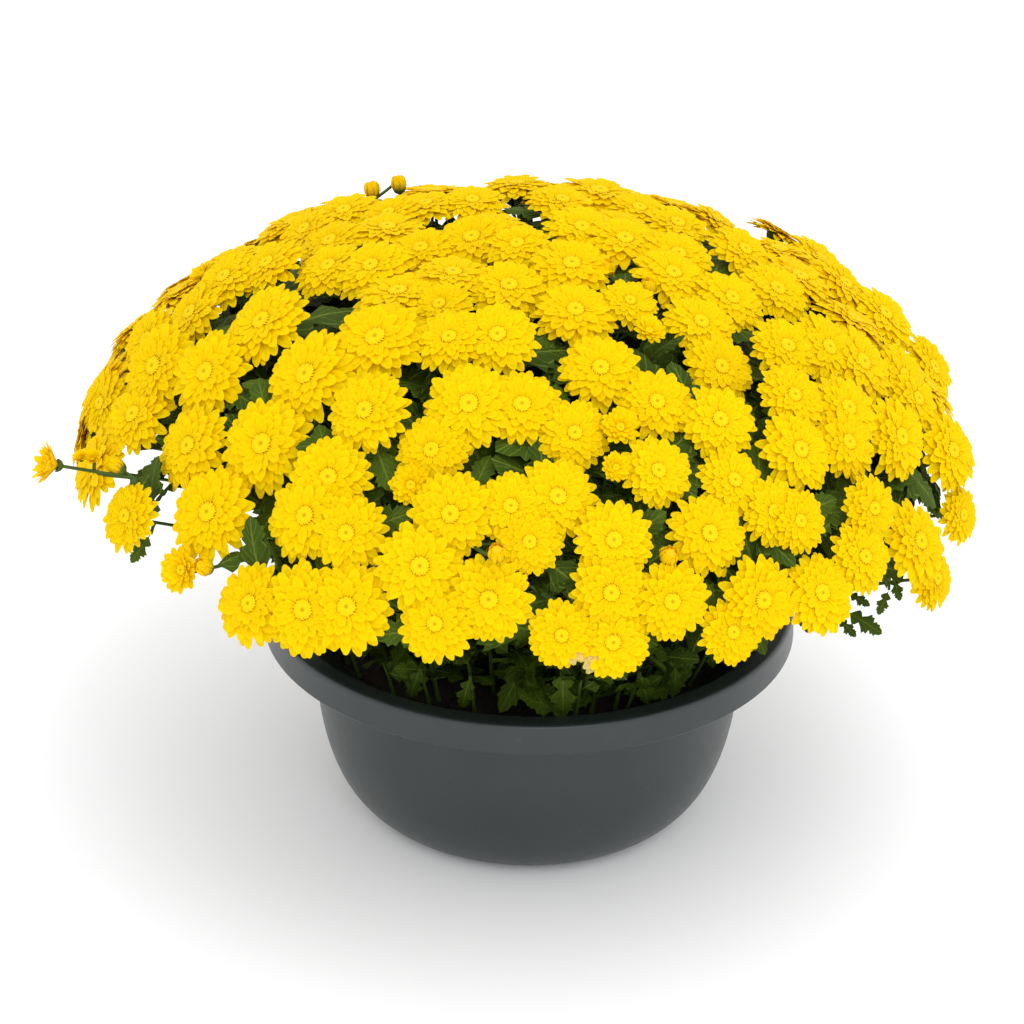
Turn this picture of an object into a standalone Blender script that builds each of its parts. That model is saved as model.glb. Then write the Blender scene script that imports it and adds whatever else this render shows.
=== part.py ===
"""Pot chrysanthemum: a low bowl of soil, leafy stems that fork from it, and a dome of double yellow blooms.

Metres, +Z up. The origin is the middle of the bowl's flat base. The blooms that face the front stand where
they were read off a picture, as lines of sight that meet the dome; a rule fills the dome's other sides.
"""

import math
import random

import bmesh
import bpy
import numpy as np
from mathutils import Matrix, Vector
from mathutils.bvhtree import BVHTree

SEED = 11
GAP = 0.0003  # between pieces that touch

# The bowl
BASE_RADIUS = 0.0711
BODY_RADIUS = 0.1109  # just under the band
BAND_FOOT = 0.1010  # height of the band's lower edge
BAND_RADIUS = 0.1378
BAND_WALL = 0.0026
LIP_HEIGHT = 0.1174
LIP_OUTER = 0.1346
LIP_INNER = 0.1272
BOWL_WALL = 0.0028
BOWL_FLOOR = 0.0035
SHELF = ((0.010, 0.0045), (0.0241, 0.0062))  # under the band: (out from the body, up from its foot)
BAND_EASE = 0.0006  # the band leans in by this much towards its top
BAND_ROUND = 0.0035
LIP_TURN = (0.0022, 0.0060)  # the lip's inner edge: (in, down)
BODY_SHARES = (0.0, 0.25, 0.5, 0.75, 1.0)  # where the body has rings, up its curve
INSIDE_SHARES = (0.0, 0.3, 0.62, 1.0)
BULGE = (0.0022, 0.73)  # the upper handle of the body's curve: (out, share of its height)
BOWL_SEGMENTS = 28

# The soil
SOIL_HEIGHT = 0.1000
SOIL_LUMP = 0.0022
SOIL_EDGE_DROP = 0.004
SOIL_RINGS = (0.78, 0.45)  # of the top, as shares of its radius
SOIL_SEGMENTS = 14
HOLE_DEPTH = 0.022
HOLE_ROOM = 0.00045  # round a stem

# The dome that the blooms' middles lie on
DOME_CENTRE = Vector((-0.007, 0.0, 0.199))
DOME_RADIUS = 0.225
DOME_RISE = 0.121

# The picture: where it was taken from, and the bowl's place in it, in pixels
VIEW_PITCH = math.radians(26.8)
VIEW_ROLL = math.radians(1.17)  # what lies to the right is seen a little lower
VIEW_DISTANCE = 1.5
SIGHT_LENGTH = 2870.0
PICTURE_MIDDLE = 512.0
COLLAR_CENTRE = Vector((0.0, 0.0, BAND_FOOT))
COLLAR_SEEN_AT = (528.7, 617.8)

# Blooms as they were read off the picture: (x, y, width), in pixels
SEEN_CROWN = (
    (515, 180, 72), (600, 188, 80), (561, 199, 72), (640, 200, 70), (473, 194, 70), (425, 196, 68),
    (345, 203, 76), (300, 222, 74), (385, 206, 66), (471, 229, 84), (580, 226, 78), (624, 238, 84),
    (680, 215, 76), (721, 212, 66), (676, 252, 76), (779, 230, 66), (746, 248, 74), (520, 238, 70),
)
SEEN_UPPER_LEFT = (
    (369, 262, 80), (326, 233, 76), (322, 259, 78), (268, 262, 78), (225, 275, 78), (185, 306, 80),
    (264, 318, 94), (297, 370, 98), (380, 334, 96), (201, 368, 92), (153, 366, 92), (140, 335, 76),
    (126, 410, 84), (93, 400, 70), (180, 442, 90), (418, 240, 76), (438, 300, 66),
)
SEEN_UPPER_RIGHT = (
    (509, 277, 84), (570, 260, 86), (576, 306, 84), (631, 298, 60), (452, 338, 74), (498, 336, 84),
    (668, 268, 80), (704, 315, 74), (740, 293, 74), (826, 253, 76), (782, 282, 80), (847, 282, 78),
    (790, 343, 76), (832, 345, 82), (888, 312, 80), (867, 358, 84), (939, 362, 76), (912, 372, 72),
)
SEEN_MIDDLE = (
    (255, 441, 98), (325, 474, 86), (366, 411, 86), (471, 405, 92), (429, 446, 76), (522, 405, 82),
    (573, 431, 72), (600, 368, 84), (656, 400, 76), (663, 471, 72), (726, 361, 78), (724, 420, 78),
    (793, 395, 74), (801, 446, 86), (738, 475, 74), (848, 405, 78), (853, 440, 76), (907, 437, 82),
    (925, 395, 72), (957, 449, 80), (449, 513, 88), (511, 505, 74), (561, 496, 84), (780, 509, 70),
)
SEEN_LOWER = (
    (201, 509, 98), (122, 515, 72), (246, 603, 86), (301, 610, 96), (347, 609, 90), (300, 513, 92),
    (343, 528, 78), (417, 567, 92), (434, 624, 78), (489, 600, 88), (530, 541, 68), (612, 538, 80),
    (612, 593, 82), (561, 636, 70), (614, 643, 78), (674, 602, 82), (713, 530, 84), (735, 632, 68),
    (764, 600, 84), (824, 588, 80), (805, 524, 66), (868, 556, 74), (877, 508, 70), (924, 540, 86),
    (940, 578, 66), (966, 515, 60),
)
# Half-open ones, as they were read off the picture: (x, y, width)
SEEN_HALF_OPEN = (
    (408, 482, 46), (623, 427, 42), (614, 467, 32), (649, 331, 36), (178, 569, 52), (200, 272, 34),
)
# Openings through which the leaves show: (x, y, radius)
SEEN_OPENINGS = (
    (328, 296, 20), (212, 316, 14), (228, 380, 24), (205, 460, 14), (250, 490, 18), (315, 430, 22),
    (378, 455, 24), (425, 365, 20), (385, 512, 24), (240, 545, 30), (320, 560, 14), (478, 465, 28),
    (560, 390, 24), (540, 320, 26), (630, 268, 24), (672, 330, 40), (690, 300, 26), (690, 372, 22),
    (610, 400, 14), (640, 450, 20), (650, 520, 42), (655, 560, 26), (570, 575, 34), (705, 460, 14),
    (770, 455, 18), (830, 500, 30), (790, 545, 22), (830, 370, 16), (740, 395, 16), (885, 480, 16),
    (940, 480, 12), (710, 600, 18), (395, 640, 18), (445, 605, 8), (520, 222, 8), (705, 240, 8),
    (134, 472, 24),
)
# Places beside the plant, where the picture shows neither blooms nor leaves: (x, y, radius)
SEEN_BARE = ((70, 532, 52), (130, 590, 34), (160, 612, 30), (985, 540, 30), (985, 600, 30), (100, 480, 20))
# The shoot that leans out at the left: where it forks, and its three small blooms (x, y, width, spray)
SHOOT_FORK_SEEN = (134, 478)
SHOOT_BLOOMS_SEEN = ((55, 465, 46, 0), (81, 459, 18, 1), (93, 460, 22, 1))
SHOOT_DEPTH = 0.010  # how far behind the dome its fork lies
SHOOT_REACH = 0.16
SHOOT_SKIP = 2
SHOOT_AXES = (Vector((-0.90, -0.30, 0.30)), Vector((-0.35, -0.35, 0.85)), Vector((-0.15, -0.4, 0.9)))
SHOOT_BUD_SEEN = (109, 462)

# Blooms
PETALS = 6  # in each layer
HALF_OPEN_PETALS = 5
SEEN_GROWTH = 1.06  # the width in the picture is between tips that droop
SEEN_SUNK = 0.17  # how far under the middle that the picture shows the ring of petals lies
FILL_ROOM = 0.0090  # least distance from the middle of a bloom that the rule adds to another's edge
FILL_DEPTH = 0.006  # how far inside the dome the added ones lie
FILL_RADIUS = (0.0200, 0.0235)
FILL_UPTURN = 0.25  # how far they face up from square to the dome, as a slope
FILL_FLOOR_BACK = 0.194
FILL_FLOOR_FRONT = 0.216
FILL_FLOOR_STEEP = 3  # how fast the floor rises from the sides to the front
BACK_OPENINGS = 16
BACK_OPENING_RADIUS = (0.012, 0.020)
BACK_OPENING_TURN = (0.05 * math.pi, 0.95 * math.pi)  # from the right side round the back to the left
BACK_OPENING_HEIGHT = (0.05, 0.8)  # as a share of the dome's rise
OPENING_ROOM = 0.6 * FILL_RADIUS[0]  # from an opening's edge to the middle of an added bloom
LATTICE_COUNT = 5000  # places on the dome that an added bloom may take
LATTICE_SPAN = 1.25  # how far down the dome they go: 1 is down to its widest
FACING_CENTRE = Vector((-0.004, 0.0, 0.120))  # blooms face away from here
EDGE_TURN = 0.5  # how far those of the picture that would be edge on turn to the front
AXIS_JITTER = 0.13
TIP_DROP = 0.05
VALLEY = 0.80
INNER_TIER = 0.62
INNER_RISE = 0.30
CROWN_RISE = 0.24
UNDER_DEPTH = 0.30

# Sprays: blooms that touch, joined in one solid
MOST_SPRAYS = 44
SPRAY_CAP = 7
LINK_REACH = 0.84  # the share of both radii that lies between the middles of two joined blooms
LINK_RISE = 0.0022
PAIR_REACH = 1.5  # the same share, over which two blooms can't be joined
SETTLE_REACH = 0.07  # blooms with middles further apart don't move each other
SPRAY_CLEARANCE = 0.0012
HEIGHT_LIMIT = 0.0105
ASIDE_LIMIT = 0.0020
MOST_GROWTH = 1.10
SETTLE_GROWTH = 1.01
PULL = 0.25
LEVEL = 0.5
APART = 0.04
SETTLE_ROUNDS = 60
NEAR_STEP = 0.0003
PART_STEP = 0.0003
PART_SHRINK = 0.985
CLEAR_GROWTH = 1.02
CLEAR_REACH = 0.004
CLEAR_ROUNDS = 60

# Stems
STEM_COUNT = 12
INNER_STEMS = 3
RING_SHARES = (0.35, 0.85)  # where the two rings of stems end, as shares of the dome's radius
TERRITORY_ROUNDS = 12
STEM_RADIUS = 0.0034
STEM_SIDES = 5
STEM_TAPER = 0.85
BRANCH_RADIUS = 0.0021
BRANCH_SIDES = 4
STALK_RADIUS = 0.0012
STALK_SIDES = 3
CALYX_RADIUS = 0.0036
FULL_BLOOM = 0.016  # radius from which a bloom has a calyx of full size
SHOOT_FULL_BLOOM = 0.012
ROOT_SUNK = 0.003  # how far back in its carrier a limb starts
HOLE_SPREAD = 0.33  # a stem's place in the soil, as a share of its place in the dome
COLLAR_RISE = 0.006  # where a stem starts to lean, over the soil
FORK_SHARE = 0.42
SPRAY_FORK_SHARE = 0.40
FIRST_STALK = 0.55  # share of a branch at which its lowest stalk leaves it
PLACE_STEP = 0.005  # between the places on a limb where something may grow
KNEE = 0.022  # how far under a bloom its stalk bends, where a straight one would not pass
BEND_TRIES = 80
BEND_MOST = 0.024

# Buds on the stems, as they were read off the picture: (x, y)
SEEN_BUDS = ((371, 182), (398, 177), (607, 260), (649, 279), (497, 549), (671, 552), (199, 564))
BUD_RADIUS = 0.0042
BUD_SIDES = 4
BUD_NECK = 2.1 * BUD_RADIUS  # from its tip down to its stalk
BUD_RADII = (STALK_RADIUS, STALK_RADIUS, BUD_RADIUS, 0.3 * BUD_RADIUS)
BUD_NEARER = (0.002, 0.008, 0.014)  # how far before the dome it stands
BUD_UPTURN = 0.5
BUD_REACH = 0.10
BUD_WAYS = 8
BUD_SKIP = 5

# Leaves
LEAF_LENGTH = (0.034, 0.056)
LEAF_THICKNESS = 0.0026
LEAF_ARCH = 0.09
LEAF_DROOP = 0.5
LEAF_SIDE = ((0.22, 0.25), (0.38, 0.13), (0.62, 0.35), (0.74, 0.15))  # (along, across), from base to tip
LEAF_SPINE = 0.45
LEAF_DEPTH = 0.014  # how deep under the dome a leaf lies in an opening
# Leaves that show under the blooms, as their middles were read off the picture: (x, y)
SEEN_SKIRT = (
    (142, 548), (812, 622), (850, 620), (878, 617), (897, 592), (930, 590), (563, 700), (640, 690),
    (672, 690), (610, 690), (500, 680), (440, 680), (380, 665), (320, 655), (265, 640), (720, 675),
    (765, 655), (205, 610), (830, 605),
)
SKIRT_REACH = 0.150
SKIRT_LEAN = 0.45  # how far the leaves under the blooms face up
SKIRT_TURN = 0.8  # and how far to the front
# Leaves round the main stems, one after the other by the golden angle
STEM_LEAVES = 4
FIRST_LEAF = 0.22  # share of the stem, from the soil to its fork, below which none grows
LEAF_TURN = math.radians(137.5)
LEAF_DROOPS = (0.35, 0.05, 0.65, -0.25)

PLANT_ROUGHNESS = 0.6
PLASTIC_ROUGHNESS = 0.5
SOIL_ROUGHNESS = 0.95
YELLOW = (1.0, 0.74, 0.004)
GREEN = (0.035, 0.075, 0.012)
SLATE = (0.058, 0.068, 0.070)
SOIL = (0.016, 0.012, 0.008)


def clear_scene():
    for obj in list(bpy.data.objects):
        bpy.data.objects.remove(obj, do_unlink=True)


def material(name, colour, roughness):
    """A plain surface of one colour."""
    made = bpy.data.materials.new(name)
    made.use_nodes = True
    shader = made.node_tree.nodes["Principled BSDF"]
    shader.inputs["Base Color"].default_value = (*colour, 1.0)
    shader.inputs["Roughness"].default_value = roughness
    shader.inputs["Metallic"].default_value = 0.0
    return made


def mesh_object(name, points, faces, surface=None):
    """An object of these points and faces, in the scene."""
    mesh = bpy.data.meshes.new(name)
    mesh.from_pydata([tuple(point) for point in points], [], faces)
    mesh.update()
    if surface:
        mesh.materials.append(surface)
    made = bpy.data.objects.new(name, mesh)
    bpy.context.scene.collection.objects.link(made)
    return made


def apply_modifiers(obj):
    """The object's mesh becomes what its modifiers make of it."""
    graph = bpy.context.evaluated_depsgraph_get()
    graph.update()
    done = bpy.data.meshes.new_from_object(obj.evaluated_get(graph))
    obj.modifiers.clear()
    obj.data = done


def boolean(obj, shapes, operation, solver):
    """Joins these (points, faces) to the object, or cuts them from it, in one Boolean on a collection."""
    helpers = bpy.data.collections.new(obj.name + "_helpers")
    bpy.context.scene.collection.children.link(helpers)
    for points, faces in shapes:
        helper = mesh_object("helper", points, faces)
        helper.hide_render = True
        helper.display_type = "WIRE"
        bpy.context.scene.collection.objects.unlink(helper)
        helpers.objects.link(helper)
    modifier = obj.modifiers.new(operation.lower(), "BOOLEAN")
    modifier.operation = operation
    modifier.operand_type = "COLLECTION"
    modifier.collection = helpers
    modifier.solver = solver
    apply_modifiers(obj)
    for helper in list(helpers.objects):
        bpy.data.objects.remove(helper, do_unlink=True)
    bpy.data.collections.remove(helpers)


def shells_of(work):
    """The points of each closed shell of a bmesh."""
    unseen = dict.fromkeys(work.verts)
    shells = []
    while unseen:
        start = next(iter(unseen))
        del unseen[start]
        shell = [start]
        for vert in shell:
            for edge in vert.link_edges:
                other = edge.other_vert(vert)
                if other in unseen:
                    del unseen[other]
                    shell.append(other)
        shells.append(shell)
    return shells


def keep_largest_shell(mesh):
    """Fills the hollows that fusing sealed and drops loose scraps."""
    work = bmesh.new()
    work.from_mesh(mesh)
    shells = sorted(shells_of(work), key=len)
    scraps = [vert for shell in shells[:-1] for vert in shell]
    bmesh.ops.delete(work, geom=scraps, context="VERTS")
    work.to_mesh(mesh)
    work.free()


def fused(name, shapes, surface):
    """One solid of shapes that run into each other."""
    first, *others = shapes
    made = mesh_object(name, *first, surface)
    if others:
        boolean(made, others, "UNION", "MANIFOLD")
        keep_largest_shell(made.data)
    return made


def turned(profile, segments):
    """The closed body that a profile of (radius, height) sweeps. It starts and ends on the axis."""
    points = [Vector((0.0, 0.0, profile[0][1])), Vector((0.0, 0.0, profile[-1][1]))]
    rings = profile[1:-1]
    for radius, height in rings:
        for step in range(segments):
            angle = math.tau * step / segments
            points.append(Vector((radius * math.cos(angle), radius * math.sin(angle), height)))
    faces = []
    for step in range(segments):
        ahead = (step + 1) % segments
        faces.append((0, 2 + ahead, 2 + step))
        for ring in range(len(rings) - 1):
            low = 2 + ring * segments
            high = low + segments
            faces.append((low + step, low + ahead, high + ahead, high + step))
        last = 2 + (len(rings) - 1) * segments
        faces.append((1, last + step, last + ahead))
    return points, faces


def body_curve(share):
    """(radius, height) of the bowl's outside at a share of the way from its base to the band."""
    ends = (
        (BASE_RADIUS, 0.0),
        (BODY_RADIUS, 0.0),
        (BODY_RADIUS + BULGE[0], BULGE[1] * BAND_FOOT),
        (BODY_RADIUS, BAND_FOOT),
    )
    weights = (
        (1 - share) ** 3,
        3 * (1 - share) ** 2 * share,
        3 * (1 - share) * share**2,
        share**3,
    )
    return tuple(sum(w * end[axis] for w, end in zip(weights, ends)) for axis in (0, 1))


def inner_curve(share):
    """(radius, height) of the bowl's inside, one wall in from its outside."""
    radius, height = body_curve(share)
    rise = BOWL_FLOOR * (1 - share) ** 2
    return radius - BOWL_WALL, height + rise


def bowl_profile():
    """The bowl's section: base, body, the shelf under the band, the band, the lip and the inside."""
    outside = [body_curve(share) for share in BODY_SHARES]
    shelf = [(BODY_RADIUS + out, BAND_FOOT + up) for out, up in SHELF]
    band = [
        (BAND_RADIUS - BAND_WALL, BAND_FOOT),
        (BAND_RADIUS, BAND_FOOT),
        (BAND_RADIUS - BAND_EASE, LIP_HEIGHT - BAND_ROUND),
        (LIP_OUTER, LIP_HEIGHT),
        (LIP_INNER, LIP_HEIGHT),
        (LIP_INNER - LIP_TURN[0], LIP_HEIGHT - LIP_TURN[1]),
    ]
    inside = [inner_curve(share) for share in INSIDE_SHARES[::-1]]
    return [(0.0, 0.0), *outside, *shelf, *band, *inside, (0.0, BOWL_FLOOR)]


def soil_solid(draw):
    """The filling: the bowl's inside less the gap, with a lumpy top."""
    side = [(radius - GAP, height + GAP) for radius, height in map(inner_curve, INSIDE_SHARES[:-1])]
    top_radius = inner_curve(1.0)[0] - 2 * GAP
    top = [(share * top_radius, SOIL_HEIGHT) for share in SOIL_RINGS]
    edge = (top_radius, SOIL_HEIGHT - SOIL_EDGE_DROP)
    points, faces = turned([(0.0, BOWL_FLOOR + GAP), *side, edge, *top, (0.0, SOIL_HEIGHT)], SOIL_SEGMENTS)
    for point in points[2 + (len(side) + 1) * SOIL_SEGMENTS:]:
        point.z += draw.uniform(-SOIL_LUMP, SOIL_LUMP)
    return points, faces


LOOK = Vector((0.0, math.cos(VIEW_PITCH), -math.sin(VIEW_PITCH)))
LEVEL_UP = Vector((0.0, math.sin(VIEW_PITCH), math.cos(VIEW_PITCH)))
LOOK_RIGHT = math.cos(VIEW_ROLL) * Vector((1.0, 0.0, 0.0)) + math.sin(VIEW_ROLL) * LEVEL_UP
LOOK_UP = math.cos(VIEW_ROLL) * LEVEL_UP - math.sin(VIEW_ROLL) * Vector((1.0, 0.0, 0.0))


def sight(x, y):
    """The direction in which a place of the picture is seen."""
    right = (x - PICTURE_MIDDLE) / SIGHT_LENGTH
    up = (PICTURE_MIDDLE - y) / SIGHT_LENGTH
    return (LOOK + right * LOOK_RIGHT + up * LOOK_UP).normalized()


EYE = COLLAR_CENTRE - VIEW_DISTANCE * sight(*COLLAR_SEEN_AT)
TO_UNIT = Vector((1 / DOME_RADIUS, 1 / DOME_RADIUS, 1 / DOME_RISE))
FROM_UNIT = Vector((DOME_RADIUS, DOME_RADIUS, DOME_RISE))


def on_dome(x, y):
    """Where the line of sight meets the dome, or passes closest to it."""
    start = (EYE - DOME_CENTRE) * TO_UNIT
    step = sight(x, y) * TO_UNIT
    along = -start.dot(step) / step.length_squared
    inside = 1 - (start + along * step).length_squared
    if inside > 0:
        along -= math.sqrt(inside / step.length_squared)
    return DOME_CENTRE + (start + along * step) * FROM_UNIT


def dome_normal(point):
    return ((point - DOME_CENTRE) * TO_UNIT * TO_UNIT).normalized()


def dome_height(point):
    """How far a point stands out of the dome."""
    unit = (point - DOME_CENTRE) * TO_UNIT
    return (point - DOME_CENTRE).length * (1 - 1 / unit.length)


def real_width(width, point):
    """A width in the picture as metres, at the distance of a point."""
    return width / SIGHT_LENGTH * (point - EYE).dot(LOOK)


class Bloom:
    """One flower head: the middle of its petals' ring, where it faces, and its radius."""

    def __init__(self, place, axis, radius, petals, turn, seen=False):
        self.place = place
        self.axis = axis
        self.radius = radius
        self.petals = petals
        self.turn = turn
        self.seen = seen
        self.start = place.copy()
        self.grown = 1.0
        self.spray = None

    def hold(self):
        """Keeps a seen bloom near where it started, on its line of sight, and the others near the dome."""
        if self.seen:
            ray = (self.start - EYE).normalized()
            moved = self.place - self.start
            along = max(-HEIGHT_LIMIT, min(HEIGHT_LIMIT, moved.dot(ray)))
            aside = moved - moved.dot(ray) * ray
            if aside.length > ASIDE_LIMIT:
                aside *= ASIDE_LIMIT / aside.length
            self.place = self.start + along * ray + aside
        else:
            height = dome_height(self.place)
            over = max(-FILL_DEPTH - HEIGHT_LIMIT, min(-FILL_DEPTH, height)) - height
            self.place += over * dome_normal(self.place)

    def matrix(self):
        turned_to = self.axis.to_track_quat("Z", "Y").to_matrix().to_4x4()
        return Matrix.Translation(self.place) @ turned_to @ Matrix.Rotation(self.turn, 4, "Z")

    def base(self):
        """The point under the bloom where its stalk ends."""
        return self.place - (UNDER_DEPTH * self.radius + GAP) * self.axis

    def solid(self, grown=1.0):
        """Two layers of petals: an outer ring of points, and an inner ring that stands over its gaps."""
        size = self.radius * grown
        points = [Vector((0, 0, -UNDER_DEPTH * size)), Vector((0, 0, CROWN_RISE * size))]
        step = math.pi / self.petals
        for petal in range(self.petals):
            tip, gap = 2 * petal * step, (2 * petal + 1) * step
            points.append(Vector((size * math.cos(tip), size * math.sin(tip), -TIP_DROP * size)))
            points.append(VALLEY * size * Vector((math.cos(gap), math.sin(gap), 0.0)))
            inner = INNER_TIER * size
            points.append(Vector((inner * math.cos(gap), inner * math.sin(gap), INNER_RISE * size)))
        faces = []
        for petal in range(self.petals):
            tip, gap, inner = (2 + 3 * petal + k for k in range(3))
            next_tip = 2 + 3 * ((petal + 1) % self.petals)
            next_inner = next_tip + 2
            faces += [(0, gap, tip), (0, next_tip, gap), (tip, gap, inner), (gap, next_tip, inner)]
            faces += [(next_tip, next_inner, inner), (1, inner, next_inner)]
        matrix = self.matrix()
        return [matrix @ point for point in points], faces


def bloom_axis(point, draw):
    """Away from the middle of the plant, a little astray, and less edge on to the front."""
    astray = Vector([draw.uniform(-AXIS_JITTER, AXIS_JITTER) for _ in range(3)])
    axis = ((point - FACING_CENTRE).normalized() + astray).normalized()
    front = (EYE - point).normalized()
    return (axis + EDGE_TURN * (1 - abs(axis.dot(front))) * front).normalized()


def filling_axis(point, draw):
    """Square to the dome, turned up a little, and a little astray."""
    astray = Vector([draw.uniform(-AXIS_JITTER, AXIS_JITTER) for _ in range(3)])
    return (dome_normal(point) + Vector((0, 0, FILL_UPTURN)) + astray).normalized()


def seen_blooms(draw):
    """The blooms that the picture shows."""
    made = []
    for x, y, width in SEEN_CROWN + SEEN_UPPER_LEFT + SEEN_UPPER_RIGHT + SEEN_MIDDLE + SEEN_LOWER:
        place = on_dome(x, y)
        radius = 0.5 * SEEN_GROWTH * real_width(width, place)
        axis = bloom_axis(place, draw)
        place -= SEEN_SUNK * radius * axis
        made.append(Bloom(place, axis, radius, PETALS, draw.uniform(0, math.tau), True))
    for x, y, width in SEEN_HALF_OPEN:
        place = on_dome(x, y)
        radius = 0.5 * real_width(width, place)
        axis = bloom_axis(place, draw)
        made.append(Bloom(place, axis, radius, HALF_OPEN_PETALS, draw.uniform(0, math.tau), True))
    return made


def shoot_blooms(spray):
    """The three small blooms of the shoot that leans out, in two sprays numbered from here."""
    made = []
    distance = (on_dome(*SHOOT_FORK_SEEN) - EYE).length
    for (x, y, width, number), axis in zip(SHOOT_BLOOMS_SEEN, SHOOT_AXES):
        place = EYE + distance * sight(x, y)
        radius = 0.5 * real_width(width, place)
        made.append(Bloom(place, axis.normalized(), radius, HALF_OPEN_PETALS, 0.0))
        made[-1].spray = spray + number
    return made


def openings(draw):
    """(point, radius) of the bare places, of the gaps that the picture shows, and of as many at the back."""
    found = []
    for x, y, radius in SEEN_BARE + SEEN_OPENINGS:
        place = on_dome(x, y)
        found.append((place, real_width(radius, place)))
    for _ in range(BACK_OPENINGS):
        angle, height = draw.uniform(*BACK_OPENING_TURN), draw.uniform(*BACK_OPENING_HEIGHT)
        flat = math.sqrt(1 - height**2)
        unit = Vector((flat * math.cos(angle), flat * math.sin(angle), height))
        found.append((DOME_CENTRE + unit * FROM_UNIT, draw.uniform(*BACK_OPENING_RADIUS)))
    return found


def fill_dome(blooms, draw):
    """Adds blooms where there is room, each as far from all the others as can be."""
    lattice = []
    for step in range(LATTICE_COUNT):
        height = 1 - LATTICE_SPAN * (step + 0.5) / LATTICE_COUNT
        angle = step * math.pi * (3 - math.sqrt(5))
        flat = math.sqrt(1 - height**2)
        point = DOME_CENTRE + Vector((flat * math.cos(angle), flat * math.sin(angle), height)) * FROM_UNIT
        front = max(0.0, min(1.0, -FILL_FLOOR_STEEP * flat * math.sin(angle)))
        if point.z > FILL_FLOOR_BACK + (FILL_FLOOR_FRONT - FILL_FLOOR_BACK) * front:
            lattice.append(point)
    spots = np.array(lattice)
    room = np.full(len(spots), 1.0)
    for place, radius in openings(draw):
        from_opening = np.linalg.norm(spots - np.array(place), axis=1)
        room[from_opening < radius + OPENING_ROOM] = 0.0
    for bloom in blooms:
        room = np.minimum(room, np.linalg.norm(spots - np.array(bloom.place), axis=1) - bloom.radius)
    while room.max() > FILL_ROOM:
        place = Vector(spots[room.argmax()])
        radius = draw.uniform(*FILL_RADIUS)
        blooms.append(Bloom(place, filling_axis(place, draw), radius, PETALS, draw.uniform(0, math.tau)))
        room = np.minimum(room, np.linalg.norm(spots - np.array(place), axis=1) - radius)


def join_in_sprays(blooms):
    """Numbers the sprays and gives the links: the closest pairs first, up to the cap."""
    spray_of = list(range(len(blooms)))
    sizes = [1] * len(blooms)
    pairs = []
    for i, one in enumerate(blooms):
        for j in range(i + 1, len(blooms)):
            reach = (one.place - blooms[j].place).length / (one.radius + blooms[j].radius)
            if reach < PAIR_REACH:
                pairs.append((reach, i, j))
    links = []
    left = len(blooms)
    for reach, i, j in sorted(pairs):
        one, two = spray_of[i], spray_of[j]
        if one == two or sizes[one] + sizes[two] > SPRAY_CAP or left <= MOST_SPRAYS:
            continue
        spray_of = [one if spray == two else spray for spray in spray_of]
        sizes[one] += sizes[two]
        left -= 1
        links.append((i, j))
    for bloom, spray in zip(blooms, spray_of):
        bloom.spray = spray
    return links


def pull_together(one, two, across, rise, up):
    """Draws two joined blooms together and level, and lets them grow where they are too far apart."""
    reach = one.radius + two.radius
    if across.length > LINK_REACH * reach:
        for bloom in (one, two):
            if bloom.grown < MOST_GROWTH:
                bloom.radius *= SETTLE_GROWTH
                bloom.grown *= SETTLE_GROWTH
    pull = PULL * max(0.0, across.length - LINK_REACH * reach) * across.normalized()
    level = LEVEL * max(0.0, abs(rise) - LINK_RISE) * math.copysign(1, rise) * up
    one.place += pull + 0.5 * level
    two.place -= pull + 0.5 * level


def lift_apart(one, two, across, rise, up):
    """Lifts one of two blooms of different sprays over the other, where they overlap."""
    overlap = one.radius + two.radius + SPRAY_CLEARANCE - across.length
    need = 0.5 * overlap + SPRAY_CLEARANCE
    if overlap > 0 and abs(rise) < need:
        lift = PULL * (need - abs(rise)) * math.copysign(1, rise) * up
        apart = APART * overlap * across.normalized()
        one.place -= lift + apart
        two.place += lift + apart


def settle(blooms, links):
    """Draws joined blooms together and lifts those of different sprays over or under each other."""
    linked = set(links)
    pairs = [
        (i, j)
        for i in range(len(blooms))
        for j in range(i + 1, len(blooms))
        if (blooms[i].place - blooms[j].place).length < SETTLE_REACH
    ]
    for _ in range(SETTLE_ROUNDS):
        for i, j in pairs:
            one, two = blooms[i], blooms[j]
            between = two.place - one.place
            up = (one.axis + two.axis).normalized()
            rise = between.dot(up)
            across = between - rise * up
            if (i, j) in linked:
                pull_together(one, two, across, rise, up)
            elif one.spray != two.spray:
                lift_apart(one, two, across, rise, up)
        for bloom in blooms:
            bloom.hold()


def tree(points, faces):
    return BVHTree.FromPolygons([tuple(point) for point in points], faces)


def draw_near(one, two):
    """Moves two joined blooms a little towards each other."""
    step = NEAR_STEP * (two.place - one.place).normalized()
    one.place += step
    two.place -= step


def part_from(one, two):
    """Shrinks two blooms of different sprays a little and moves one over the other."""
    up = (one.axis + two.axis).normalized()
    lift = PART_STEP * math.copysign(1, (two.place - one.place).dot(up)) * up
    one.place -= lift
    two.place += lift
    one.radius *= PART_SHRINK
    two.radius *= PART_SHRINK


def clear_sprays(blooms, links):
    """Parts blooms of different sprays that still touch, and joins those of one spray that don't."""
    near = [
        (one, two)
        for index, one in enumerate(blooms)
        for two in blooms[index + 1:]
        if one.spray != two.spray
        and (one.place - two.place).length < one.radius + two.radius + CLEAR_REACH
    ]
    joined = [(blooms[i], blooms[j]) for i, j in links]
    for _ in range(CLEAR_ROUNDS):
        outer = {bloom: tree(*bloom.solid(CLEAR_GROWTH)) for bloom in blooms}
        inner = {bloom: tree(*bloom.solid(1 / CLEAR_GROWTH)) for bloom in blooms}
        touching = [(one, two) for one, two in near if outer[one].overlap(outer[two])]
        parted = [(one, two) for one, two in joined if not inner[one].overlap(inner[two])]
        if not touching and not parted:
            return
        for one, two in touching:
            part_from(one, two)
        for one, two in parted:
            draw_near(one, two)


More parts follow.
